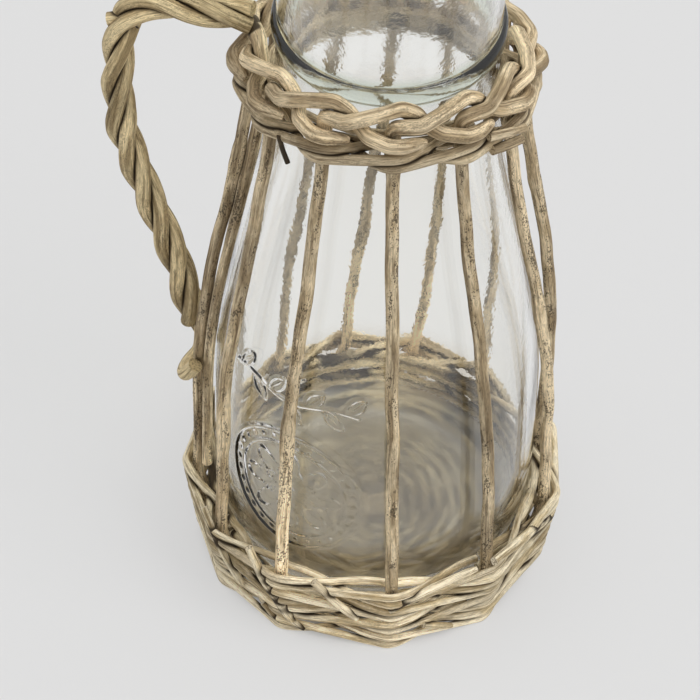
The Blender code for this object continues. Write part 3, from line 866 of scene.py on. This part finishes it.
def layCollar():
    # one row of the wale round the neck, with an inner round behind the braid to close its gaps
    look = collarLook
    draw = random.Random(31)
    for phase in range(3):
        line = waleLine(cage["collarMiddle"], collarClimb, collarReach, look["straightness"], -1,
                        phase, weaverGap, look["jitter"], 340 + phase, hangs=True)
        line = softLine(line, 4)
        radius = cage["collarRodRadius"] * draw.uniform(*look["thickness"])
        thickness = taper(line, radius, *look["ends"])
        inner = []
        for azimuth in np.linspace(phase, phase + math.tau - 0.2, 120):
            z = borderLow - look["innerDepths"][phase] * borderPitch - collarDrop(azimuth)
            inner.append(polar(azimuth, glassRadius(z) + look["innerGap"], z))
        inner = softLine(inner, 1)
        inner = (wander(inner, *look["innerDrift"], 380 + phase), taper(inner, look["innerRadius"]))
        node = f"collar_rod_{'abc'[phase]}"
        addRod(f"{node}_weave", "borderWillow", 350 + phase, [(line, thickness), inner], node,
               shade=draw.uniform(*look["shade"]), flatness=look["flatness"])

    # cut weaver ends, and a dark splinter, standing out of the collar
    for name, share, places in look["cutEnds"]:
        line = softLine(placed(places), 3)
        addLine(f"collar_rod_{name}_weave", line,
                taper(line, cage["collarRodRadius"] * share, 1.0, 0.9))
    line = softLine(placed(look["splinter"]), 3)
    addRod("collar_splinter", "darkWillow", 360, [(line, taper(line, look["splinterRadius"], 0.9))],
           shade=0.1, flatness=0.0)


floorLook = {
    "stickShade": (0.3, 0.7),
    "ringShade": (0.1, 0.7),
    "skin": {"flatness": 0.0, "bleach": 0},
    "innerTurns": 6,  # rounds added inside the CAD's first ring
    "hubGaps": 3.2,  # no round closer to the middle than this many stick pitches
    "crossing": 1.6,  # stick pitches from the middle to where the sticks begin to fan out
    "tightness": 3.9,  # rods that would fit between two rings, less the gaps
    "closing": 2.0,  # degrees between a round's end and its first spoke
}


def layFloor():
    # crossed sticks fanned into spokes, then rings woven round them, two for each CAD ring
    look = floorLook
    stickGap = 2 * cage["spokeRadius"] + seatGap
    innermost = min(
        math.hypot(*point[:2])
        for phase in range(3)
        for point in waleLine(wallFirst, wallClimb, wallReach, 0.6, 1, phase, 0.0, 0.0, 0))
    footInside = innermost - cage["wallRodRadius"] - 2 * seatGap
    first = math.radians(cage["firstStake"] + cage["floorTwist"])
    fanStart = cage["floorCentre"] - 3 * cage["floorRodRadius"]
    draw = random.Random(41)
    for stick in range(6):
        upper = stick >= 3
        level = floorMiddle + (stickGap / 2 if upper else -stickGap / 2)
        side = stick % 3 - 1
        across = first + 3 * upper * stakePitch
        near = first + (3 * upper + side) * stakePitch
        far = near + math.pi - 2 * side * stakePitch
        beside = polar(across + math.tau / 4, side * stickGap, level)
        inward = polar(across, look["crossing"] * stickGap, 0.0)
        line = softLine([
            polar(near, footInside, floorMiddle), polar(near, fanStart, floorMiddle),
            beside + inward, beside - inward,
            polar(far, fanStart, floorMiddle), polar(far, footInside, floorMiddle)], 4, floorStep)
        node = f"floor_stick_{stick + 1}"
        addRod(f"{node}_rod", "stakeWillow", 400 + stick,
               [(line, taper(line, cage["spokeRadius"]))], node,
               shade=draw.uniform(*look["stickShade"]), **look["skin"])

    outermost = footInside - cage["floorRodRadius"]
    spacing = (outermost - cage["floorCentre"]) / (cage["floorRings"] - 1)
    for ring in range(cage["floorRings"]):
        lines = []
        for turn in range(-look["innerTurns"] if ring == 0 else 0, 2):
            radius = min(cage["floorCentre"] + spacing * (ring - 0.5 + turn / 2), outermost)
            if radius >= look["hubGaps"] * stickGap:
                line = floorRound(radius, ring * 2 + turn, first)
                rodRadius = min(cage["floorRodRadius"], spacing / look["tightness"])
                lines.append((line, taper(line, rodRadius)))
        node = f"floor_ring_{ring + 1}"
        addRod(f"{node}_weave", "weaverWillow", 420 + ring, lines, node,
               shade=draw.uniform(*look["ringShade"]), **look["skin"])


def floorRound(radius, turn, first):
    # once round the floor, over one spoke and under the next
    closing = math.radians(floorLook["closing"])
    halves, steps = 2 * stakeCount, 6
    azimuths = [first + closing + half * (math.tau - 2 * closing) / halves
                for half in range(halves + 1)]
    heights = [floorMiddle + (0 if half % 2 else (-1) ** (turn + half // 2)) * floorReach
               for half in range(halves + 1)]
    points = []
    for half in range(halves):
        for share in (step / steps for step in range(steps)):
            azimuth = azimuths[half] + (azimuths[half + 1] - azimuths[half]) * share
            bend = (1 - math.cos(math.pi * share)) / 2
            z = heights[half] + (heights[half + 1] - heights[half]) * bend
            points.append(polar(azimuth, radius, z))
    points.append(polar(azimuths[-1], radius, heights[-1]))
    return softLine(points, 2, floorStep)


linerLook = {
    "inside": (38, 47),  # degrees inside the stake at the foot, and how many more at the collar
    "end": 0.95,
    "skin": {"shade": 0.85, "flatness": 0.05},
}


def besideStake(z, apart, degrees, side):
    # a place round the handle's stake, inside it with side -1 and outside it with side 1
    azimuth, turn = stakeAzimuth(handle["stake"], z), math.radians(degrees)
    beside = polar(azimuth + math.tau / 4, apart * math.cos(turn), 0.0)
    return polar(azimuth, cageRadius(z) + side * apart * math.sin(turn), z) + beside


def layLiner():
    # beside the handle's stake at its foot, inside it at the collar
    low = wallRim + 2 * seatGap
    high = collarLow - collarDrop(collarAzimuth(handle["stake"]))
    apart = cage["stakeRadius"] + cage["linerRadius"] + 2 * seatGap
    start, more = linerLook["inside"]
    line = softLine([
        besideStake(low + (high - low) * share, apart, start + more * share * share, -1)
        for share in np.linspace(0.0, 1.0, 25)], 4)
    addRod("liner_rod_twin", "stakeWillow", 440,
           [(line, taper(line, cage["linerRadius"], 1.0, linerLook["end"]))], "liner_rod",
           **linerLook["skin"])


handleLook = {
    "start": (0.33, 0.020),  # rod pitches out of the border, and a share down
    "curve": (  # shares out to the reach and down to the low end, after the start at the collar
        (0.157, 0.010), (0.639, 0.002), (0.904, 0.051), (0.976, 0.131), (1.000, 0.233),
        (0.960, 0.364), (0.679, 0.538), (0.321, 0.731), (0.145, 0.869), (0.024, 1.000),
    ),
    "hook": (  # degrees round the stake, and strand radii down
        (168, 0.7), (140, 1.6), (112, 2.2), (84, 2.2), (58, 1.4), (36, 0.2), (15, -1.2),
    ),
    "tightness": 0.88,  # the strands lie this much closer than round ones could
    "thickness": 1.15,
    "ends": (0.94, 1.0),
    "tuck": 0.0040,  # how far the strands go on into the border
    "drift": (0.00012, 0.04),
    "shade": (0.3, 0.8),
    # the handle is made darker towards its low end
    "skin": {"flatness": 0.0, "bleach": -0.3},
    "pieceAzimuth": -8.0,  # degrees from the stake, of the cut end at the bend
    "pieceEnd": ((0.0720, 0.1995), (0.0768, 0.2005), (0.0815, 0.1992)),  # distances and heights
    "pieceThickness": 1.10,
}


def handleCentre():
    # the handle's centre line and its side direction
    lowEnd = cageRadius(handle["lowEnd"])
    reach = handle["reach"] - lowEnd
    drop = handle["height"] - handle["lowEnd"]
    ropeRadius = strandOffset + handle["strandRadius"]
    beside = math.asin((cage["stakeRadius"] + ropeRadius + seatGap) / lowEnd)
    azimuth = stakeAzimuth(handle["stake"], handle["lowEnd"]) - beside
    out, down = handleLook["start"]
    outside = cageRadius(cage["collarMiddle"] - collarDrop(azimuth)) + out * borderPitch
    outside += cage["borderRodRadius"] + seatGap
    points = [polar(azimuth, outside, handle["height"] - down * drop)]
    points += [polar(azimuth, lowEnd + out * reach, handle["height"] - down * drop)
               for out, down in handleLook["curve"]]
    return softLine(points, 40), polar(azimuth + math.tau / 4, 1.0, 0.0)


def layHandle():
    # three strands twisted round each other, the last hooked round the outside of the stake
    look = handleLook
    apart = cage["stakeRadius"] + handle["strandRadius"] + 2 * seatGap
    hook = [besideStake(handle["lowEnd"] - down * handle["strandRadius"], apart, degrees, 1)
            for degrees, down in look["hook"]]
    centre, across = handleCentre()
    outward = unit(np.cross(unit(np.gradient(centre, axis=0)), across))
    draw = random.Random(51)
    for strand in range(3):
        turn = math.tau * (handle["turns"] * np.linspace(0, 1, len(centre)) + strand / 3)
        offset = across * np.cos(turn)[:, None] + outward * np.sin(turn)[:, None]
        line = centre + offset * strandOffset * look["tightness"]
        back = line[0] - line[3]
        line = np.vstack((line[0] + look["tuck"] * back / np.linalg.norm(back), line))
        line = line[:round(handle["ends"][strand] * len(line))]
        if strand == 2:
            line = softLine(np.vstack((line, hook)), 3)
        line = wander(line, *look["drift"], 510 + strand)
        radius = handle["strandRadius"] * look["thickness"]
        thickness = taper(line, radius, 1.0, draw.uniform(*look["ends"]))
        node = f"handle_strand_{'abc'[strand]}"
        addRod(f"{node}_rod", "handleWillow", 520 + strand, [(line, thickness)], node,
               shade=draw.uniform(*look["shade"]), **look["skin"])

    # where the second strand was pieced at the bend, its cut end stands out
    azimuth = stakeAzimuth(handle["stake"], handle["lowEnd"]) + math.radians(look["pieceAzimuth"])
    line = softLine([polar(azimuth, radius, z) for radius, z in look["pieceEnd"]], 2)
    addLine("handle_strand_b_rod", line,
            taper(line, handle["strandRadius"] * look["pieceThickness"], 1.0, 0.90))


rodWeatherLightAndShade = {  # what a rod's own skin may change
    "underShade": 0.25,
    "shadeReach": 0.0016,  # from the bark of the next rod
    "looseEnd": 60,  # lines of no more points cast no painted shade on their neighbours
    "bleach": 1,  # paler at the foot, and painted light most to the front and the back
    "bleachFade": (1.5, 16),  # with the height in metres
    "bleachLeast": 0.2,
    "sideShade": 0,  # painted shade at the foot, most to the sides
    "leftSide": -0.55,  # how much the left counts, where the right counts 1
    "borderPale": 0,
    "borderRise": 0.003,
    "borderClean": 2.4,  # specks lost for each part of paleness at the border
}


def nearestOthers(name):
    # places of every other rod's centre line, to find where this one is crowded
    rows = [
        (point, radius)
        for other, rod in rods.items() if other != name
        for line, thickness in rod["lines"] if len(line) > rodWeatherLightAndShade["looseEnd"]
        for point, radius in zip(line, thickness)
    ]
    tree = KDTree(len(rows))
    for i, (point, _) in enumerate(rows):
        tree.insert(point, i)
    tree.balance()
    return tree, [radius for _, radius in rows]


def readVectors(mesh, key):
    values = np.empty(len(mesh.vertices) * 3, np.float32)
    mesh.vertices.foreach_get(key, values)
    return values.reshape(-1, 3)


def storeValues(mesh, name, values):
    data = mesh.attributes.new(name, "FLOAT", "POINT").data
    data.foreach_set("value", values.astype(np.float32))


def rodMesh(name, rod):
    # the rod's lines go through the tree and come back as one mesh
    edges, start = [], 0
    for line, _ in rod["lines"]:
        edges += [(start + i, start + i + 1) for i in range(len(line) - 1)]
        start += len(line)
    lines, thicknesses = zip(*rod["lines"])
    host = bpy.data.meshes.new(name)
    host.from_pydata(np.concatenate(lines).tolist(), edges, [])
    storeValues(host, "thickness", np.concatenate(thicknesses))
    carrier = addObject(name, host)
    modifier = carrier.modifiers.new("rod", "NODES")
    modifier.node_group = rodTree
    draw = random.Random(rod["seed"])
    values = {**rodSkin, "Flatness": rod["skin"]["flatness"], "Shade": rod["skin"]["shade"],
              "Bark Offset": tuple(draw.uniform(0, 9) for _ in range(3)),
              "Finish": willow[rod["finish"]]}
    for item in rodTree.interface.items_tree:
        if item.in_out == "INPUT" and item.name in values:
            modifier[item.identifier] = values[item.name]
    depsgraph = bpy.context.evaluated_depsgraph_get()
    mesh = bpy.data.meshes.new_from_object(carrier.evaluated_get(depsgraph))
    bpy.data.objects.remove(carrier)
    mesh.name = name
    return mesh


def weatherLightAndShadeRod(mesh, name, skin):
    # painted shade near other rods and underneath, paler places with painted light and shade, and
    # no part below the ground
    tree, radii = nearestOthers(name)
    places = readVectors(mesh, "co")
    # painted shade: darker on the rod's underside and where it comes close to another rod
    creviceShade = skin["underShade"] * np.maximum(0.0, -readVectors(mesh, "normal")[:, 2])
    for i, place in enumerate(places):
        _, found, distance = tree.find(place)
        creviceShade[i] += max(0.0, 1.0 - max(distance - radii[found], 0.0) / skin["shadeReach"])
    places[:, 2] = np.maximum(places[:, 2], 0.0)
    mesh.vertices.foreach_set("co", places.ravel())

    x, y, z = places.T
    away = np.hypot(x, y).clip(0.001)
    most, fading = skin["bleachFade"]
    low = np.clip(most - fading * z, 0, 1)
    least = skin["bleachLeast"]
    # painted light and shade: paler to the front and back of the foot, darker on its sides, most on
    # the right
    bleach = low * skin["bleach"] * (least + (1 - least) * (y / away) ** 2)
    bleach -= low * skin["sideShade"] * np.clip(x / away, skin["leftSide"], 1) ** 2
    drop = cage["collarDrop"] * (1 + y / away) / 2
    atBorder = np.clip((z + drop - collarTop) / skin["borderRise"], 0, 1)
    bleach = np.maximum(bleach, skin["borderPale"] * atBorder)
    storeValues(mesh, "creviceShade", creviceShade)
    storeValues(mesh, "bleach", bleach)
    storeValues(mesh, "speckle", 1 - skin["borderPale"] * skin["borderClean"] * atBorder)


def buildRod(name):
    rod = rods[name]
    mesh = rodMesh(name, rod)
    weatherLightAndShadeRod(mesh, name, {**rodWeatherLightAndShade, **rod["skin"]})
    mesh.transform(Matrix.Translation((axisX, 0.0, 0.0)))
    piece = addObject(name, mesh)
    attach(piece, "root")
    if rod["node"]:
        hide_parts(rod["node"])
    mesh.calc_loop_triangles()
    return len(mesh.loop_triangles)


for lay in (layStakes, layWall, layStrays, layCollar, layFloor, layLiner, layHandle):
    lay()
print("rods laid:", len(rods))
print("rods built:", sum(buildRod(name) for name in rods), "triangles")


reliefPlan = {
    "azimuths": (-66.0, -2.0),  # degrees of the glass that carry raised ornament
    "heights": (0.030, 0.107),
    "fineStep": 0.5,
    "coarseStep": 2.4,
    "rows": 0.00046,
    "height": 0.00045,
    "roundAzimuth": -31.0,
    "roundZ": 0.0575,
    "roundRadius": 0.0232,
    "beads": 30,
    "sprigAzimuths": (-61.0, -6.0),
    "sprigZ": 0.0945,
    "sprigSway": 0.0012,
    "leaves": 7,
    "leafTilt": 48.0,
    "leafMiddle": 0.0032,  # from the stem
    "leafHalf": (0.0043, 0.0019),  # half its length and half its width
}


def ridge(distance, width):
    # a rounded raised line: 1 on the line, 0 half its width away
    return np.clip(1 - (2 * distance / width) ** 2, 0, 1) ** 0.7


def rosetteRidges(azimuth, z):
    # a double ring with beads in it, and two rows of petals round a knob
    size, beadTurn = reliefPlan["roundRadius"], math.tau / reliefPlan["beads"]
    across = glass["bodyRadius"] * (azimuth - math.radians(reliefPlan["roundAzimuth"]))
    up = z - reliefPlan["roundZ"]
    reach = np.hypot(across, up)
    angle = np.arctan2(up, across)
    beadAngle = (angle + beadTurn / 2) % beadTurn - beadTurn / 2
    petals = 0.70 * size * np.abs(np.cos(4 * angle)) ** 0.5
    smallPetals = 0.40 * size * np.abs(np.sin(4 * angle)) ** 0.5
    offKnob = reach > 0.16 * size
    return [
        ridge(reach - size, 0.0016),
        ridge(reach - 0.80 * size, 0.0011),
        0.8 * ridge(np.hypot(reach - 0.90 * size, beadAngle * reach), 0.0022),
        ridge(reach - petals, 0.0015) * offKnob,
        0.8 * ridge(reach - smallPetals, 0.0013) * offKnob,
        ridge(reach, 0.0050),
    ]


def sprigRidges(azimuth, z):
    # a swaying stem with leaves to its two sides in turn
    plan = reliefPlan
    low, high = (math.radians(a) for a in plan["sprigAzimuths"])
    scale = glass["bodyRadius"] * 0.97
    along, length = scale * (azimuth - low), scale * (high - low)
    halfLength, halfWidth = plan["leafHalf"]

    def aboveStem(place):
        return z - plan["sprigZ"] - plan["sprigSway"] * np.sin(place / length * math.tau * 1.5)

    ridges = [ridge(aboveStem(along), 0.0013) * (along > 0) * (along < length)]
    for leaf in range(plan["leaves"]):
        middle = (leaf + 0.5) * length / plan["leaves"]
        tilt = math.radians(plan["leafTilt"]) * (1 if leaf % 2 == 0 else -1)
        x = along - middle - plan["leafMiddle"] * math.cos(tilt)
        y = aboveStem(middle) - plan["leafMiddle"] * math.sin(tilt) * 1.35
        lengthwise = x * math.cos(tilt) + y * math.sin(tilt)
        sideways = -x * math.sin(tilt) + y * math.cos(tilt)
        shape = np.abs(lengthwise / halfLength)
        edge = halfWidth * np.clip(1 - shape ** 2, 0, 1)
        ridges.append(ridge(np.abs(sideways) - edge, 0.0011) * (shape < 1.02))
        ridges.append(ridge(sideways, 0.0007) * (shape < 0.8) * 0.6)  # its vein
    return ridges


def arcLine(centreR, centreZ, radiusR, radiusZ, start, end, steps):
    angles = np.radians(np.linspace(start, end, steps + 1))
    return list(zip(centreR + radiusR * np.cos(angles), centreZ + radiusZ * np.sin(angles)))


def glassProfile():
    # (radius, height) down the outside from the lip, then up the inside
    ringTop, ringFoot = 0.2135, 0.2048
    fineTop, fineLow = 0.106, 0.031  # rows close enough for the relief
    wall, neckRadius = glass["wall"], glass["neckRadius"]
    lipOuter, neckInner = neckRadius + glass["lipBulge"], neckRadius - wall
    lipMiddle, lipHalf = (lipOuter + neckInner) / 2, (lipOuter - neckInner) / 2
    lipShoulder = glass["lipTop"] - lipHalf
    footRadius = glass["bodyRadius"] - glass["heelDepth"]
    puntTop = glassBase + glass["puntDepth"]
    puntMiddle = glassBase + glass["puntDepth"] * 1.1
    outer = arcLine(lipMiddle, lipShoulder, lipHalf, lipHalf, 90, 0, 8)
    outer += arcLine(neckRadius, lipShoulder, glass["lipBulge"], glass["lipHeight"] - lipHalf,
                     -8, -90, 8)
    outer += [(neckRadius, z) for z in np.linspace(lipShoulder - 0.009, ringTop, 10)]
    outer += arcLine(neckRadius, glass["ringMiddle"], glass["ringBulge"], glass["ringHalfHeight"],
                     90, -90, 14)
    outer += [(glassRadius(z), z) for z in np.linspace(ringFoot, fineTop, 46)]
    steps = int((fineTop - fineLow) / reliefPlan["rows"])
    outer += [(glassRadius(z), z) for z in np.linspace(fineTop, fineLow, steps)[1:]]
    angles = np.linspace(math.asin((heelTop - fineLow) / glass["heelHeight"]), math.pi / 2, 12)[1:]
    outer += [(footRadius + glass["heelDepth"] * math.cos(a),
               heelTop - glass["heelHeight"] * math.sin(a)) for a in angles]
    outer += [(footRadius - wall * 0.5, glassBase), (footRadius - wall, glassBase + 0.0002),
              (footRadius - 2 * wall, puntTop), (0.022, puntMiddle), (0.010, puntMiddle)]

    floorTop, corner = glassBase + glass["bottomThickness"], glass["innerCorner"]
    cornerTop = floorTop + corner
    inner = [(0.012, floorTop), (0.024, floorTop)]
    inner += arcLine(glassRadius(cornerTop) - wall - corner, cornerTop, corner, corner, -90, 0, 14)
    inner += [(glassRadius(z) - wall, z) for z in np.linspace(cornerTop, ringFoot, 76)[1:]]
    inner += [(neckInner, z) for z in np.linspace(0.212, lipShoulder - 0.002, 14)]
    inner += arcLine(lipMiddle, lipShoulder, lipHalf, lipHalf, 180, 90, 8)[:-1]
    return outer, inner


glassWaves = {  # pressed glass is never quite even
    "count": 16,
    "turns": (3, 11),  # crests round the glass
    "climb": 260,  # radians a metre upwards, at most
    "outside": 0.00001,
    "inside": 0.00004,
    "margins": (0.009, 0.004),  # left even at the foot and at the lip
    "fade": 0.01,
    "floorCount": 10,
    "floorClimb": 240,
    "floor": 0.00010,
    "floorDepth": 0.004,  # above the floor's top, where its waves end
}


def makeGlass():
    waves = glassWaves
    fineLow, fineHigh = reliefPlan["azimuths"]
    fine = np.arange(fineLow, fineHigh, reliefPlan["fineStep"])
    coarseCount = int((360 - (fineHigh - fineLow)) / reliefPlan["coarseStep"]) + 1
    coarse = np.linspace(fineHigh, fineLow + 360, coarseCount)
    azimuths = np.radians(np.concatenate((fine, coarse[:-1])))
    outer, inner = glassProfile()
    profile = np.array(outer + inner)
    isOuter = (np.arange(len(profile)) < len(outer))[:, None]
    around, radius = np.meshgrid(azimuths, profile[:, 0])
    z = np.meshgrid(azimuths, profile[:, 1])[1]

    draw = random.Random(61)
    wave = np.zeros_like(radius)
    for _ in range(waves["count"]):
        turns = draw.randint(*waves["turns"])
        climb = draw.uniform(-waves["climb"], waves["climb"])
        phase = turns * around + climb * z + draw.uniform(0, math.tau)
        wave += np.sin(phase) / waves["count"] ** 0.5
    footMargin, lipMargin = waves["margins"]
    body = (np.clip((z - glassBase - footMargin) / waves["fade"], 0, 1)
            * np.clip((glass["lipTop"] - lipMargin - z) / waves["fade"], 0, 1))
    radius += wave * body * np.where(isOuter, waves["outside"], waves["inside"])
    low, high = reliefPlan["heights"]
    wrapped = (around + math.pi) % math.tau - math.pi
    relief = np.maximum.reduce(rosetteRidges(wrapped, z) + sprigRidges(wrapped, z))
    radius += np.where(isOuter & (z > low) & (z < high), relief * reliefPlan["height"], 0.0)
    x, y = radius * np.sin(around), -radius * np.cos(around)
    floorWave = np.zeros_like(radius)
    for _ in range(waves["floorCount"]):
        kx, ky = (draw.uniform(-waves["floorClimb"], waves["floorClimb"]) for _ in range(2))
        phase = kx * x + ky * y + draw.uniform(0, math.tau)
        floorWave += np.sin(phase) / waves["floorCount"] ** 0.5
    onFloor = ~isOuter & (z < glassBase + glass["bottomThickness"] + waves["floorDepth"])
    z = z + np.where(onFloor, floorWave * waves["floor"], 0.0)

    rows, columns = radius.shape
    points = np.stack((axisX + x, y, z), axis=-1).reshape(-1, 3)
    outerPole, innerPole = len(points), len(points) + 1
    points = np.vstack((points, [(axisX, 0.0, glassBase + glass["puntDepth"] * 1.1),
                                 (axisX, 0.0, glassBase + glass["bottomThickness"])]))
    faces = []
    for row in range(rows):
        nextRow = (row + 1) % rows
        for column in range(columns):
            after = (column + 1) % columns
            a, b = row * columns + column, row * columns + after
            c, d = nextRow * columns + after, nextRow * columns + column
            if row == len(outer) - 1:
                faces += [(b, a, outerPole), (d, c, innerPole)]
            else:
                faces.append((a, d, c, b))
    mesh = bpy.data.meshes.new("glass_jug_clear")
    mesh.from_pydata(points.tolist(), [], faces)
    mesh.validate()
    mesh.polygons.foreach_set("use_smooth", [True] * len(mesh.polygons))
    mesh.materials.append(clearGlass)
    jug = addObject("glass_jug_clear", mesh)
    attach(jug, "root")
    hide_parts("glass_jug")
    mesh.calc_loop_triangles()
    print("glass:", len(mesh.loop_triangles), "triangles")


makeGlass()


studio = {
    "floorHalf": 4.0,
    "floorColour": srgb(226, 226, 226),
    "floorOwnLight": 0.68,
    "throughGlass": 0.14,
    "underBasket": (0.044, 0.056),  # distances from the axis where the floor's own light begins
    "sky": (0.08, 0.75, 0.20, 0.86),  # two heights, and the light that comes from them
    "shown": (0.0, 0.6, 0.86, 1.20),  # the same for what the glass shows
    "softboxes": {  # place, size and power
        "rightSoftbox": ((1.5, -0.9, 2.0), 1.4, 21.0),
        "leftSoftbox": ((-1.8, -0.4, 1.6), 1.2, 2.1),
    },
    "lampTarget": 0.1,
}

view = {
    "distance": 1.53749,
    "target": (axisX - 0.00832, 0.0, 0.07553),
    "elevation": 45.05,
    "roll": 1.81,
    "lens": 259.835,
}


def makeFloor():
    half = studio["floorHalf"]
    mesh = bpy.data.meshes.new("studioFloor")
    mesh.from_pydata([(-half, -half, 0), (half, -half, 0), (half, half, 0), (-half, half, 0)],
                     [], [(0, 1, 2, 3)])
    material, tree, shader = newMaterial("paleFloor")
    fillSockets(tree, shader, {"Base Color": studio["floorColour"], "Roughness": 0.9,
                               "Specular IOR Level": 0.1})
    # evened out where it is seen, also in the glass and through it, with its shadows kept
    ray = addNode(tree, "ShaderNodeLightPath").outputs
    seen = calc(tree, "MAXIMUM", ray["Is Camera Ray"],
                calc(tree, "MAXIMUM", ray["Is Glossy Ray"], ray["Is Transmission Ray"]))
    # but dark under the basket, where no light comes in
    place = addNode(tree, "ShaderNodeNewGeometry").outputs["Position"]
    place = vectorCalc(tree, "MULTIPLY_ADD", place, (1.0, 1.0, 0.0), (-axisX, 0.0, 0.0))
    seen = calc(tree, "MULTIPLY", seen, rise(tree, vectorCalc(tree, "LENGTH", place),
                                             *studio["underBasket"]))
    # painted light: the floor glows brighter where it is seen through the glass, so the glass looks
    # paler
    strength = calc(tree, "MULTIPLY_ADD", ray["Is Transmission Ray"], studio["throughGlass"], 1.0)
    even = addNode(tree, "ShaderNodeEmission",
                   {"Color": studio["floorColour"], "Strength": strength})
    mixSurface(tree, calc(tree, "MULTIPLY", seen, studio["floorOwnLight"]), shader, even)
    mesh.materials.append(material)
    plane = addObject("studioFloor", mesh)


def makeLight():
    world = bpy.data.worlds.new("softStudio")
    scene.world = world
    world.use_nodes = True
    tree = world.node_tree
    direction = addNode(tree, "ShaderNodeTexCoord").outputs["Generated"]
    height = addNode(tree, "ShaderNodeSeparateXYZ", {0: direction}).outputs[2]
    # the glass shows paler surroundings than those that light the willow
    level, shown = (spread(tree, height, *studio[key]) for key in ("sky", "shown"))
    ray = addNode(tree, "ShaderNodeLightPath").outputs
    inGlass = calc(tree, "MAXIMUM", ray["Is Glossy Ray"], ray["Is Transmission Ray"])
    strength = calc(tree, "MULTIPLY_ADD", inGlass, calc(tree, "SUBTRACT", shown, level), level)
    fillSockets(tree, tree.nodes["Background"],
                {"Strength": strength, "Color": (1.0, 1.0, 1.0, 1.0)})
    for name, (place, size, power) in studio["softboxes"].items():
        light = bpy.data.lights.new(name, "AREA")
        light.shape = "SQUARE"
        light.size = size
        light.energy = power
        lamp = addObject(name, light)
        lamp.location = place
        aim = Vector((axisX, 0, studio["lampTarget"])) - Vector(place)
        lamp.rotation_euler = aim.to_track_quat("-Z", "Y").to_euler()


def makeCamera():
    camera = addObject("camera", bpy.data.cameras.new("camera"))
    camera.data.sensor_width = 36.0
    camera.data.lens = view["lens"]
    camera.data.clip_end = 20.0
    elevation, roll = math.radians(view["elevation"]), math.radians(view["roll"])
    forward = Vector((0, math.cos(elevation), -math.sin(elevation)))
    right = Vector((1, 0, 0))
    up = Vector((0, math.sin(elevation), math.cos(elevation)))
    rolledRight = right * math.cos(roll) + up * math.sin(roll)
    rolledUp = up * math.cos(roll) - right * math.sin(roll)
    place = Vector(view["target"]) - forward * view["distance"]
    turn = Matrix((rolledRight, rolledUp, -forward)).transposed().to_4x4()
    camera.matrix_world = Matrix.Translation(place) @ turn
    scene.camera = camera


makeFloor()
makeLight()
makeCamera()
scene.view_settings.view_transform = "Standard"
print("studio ready")
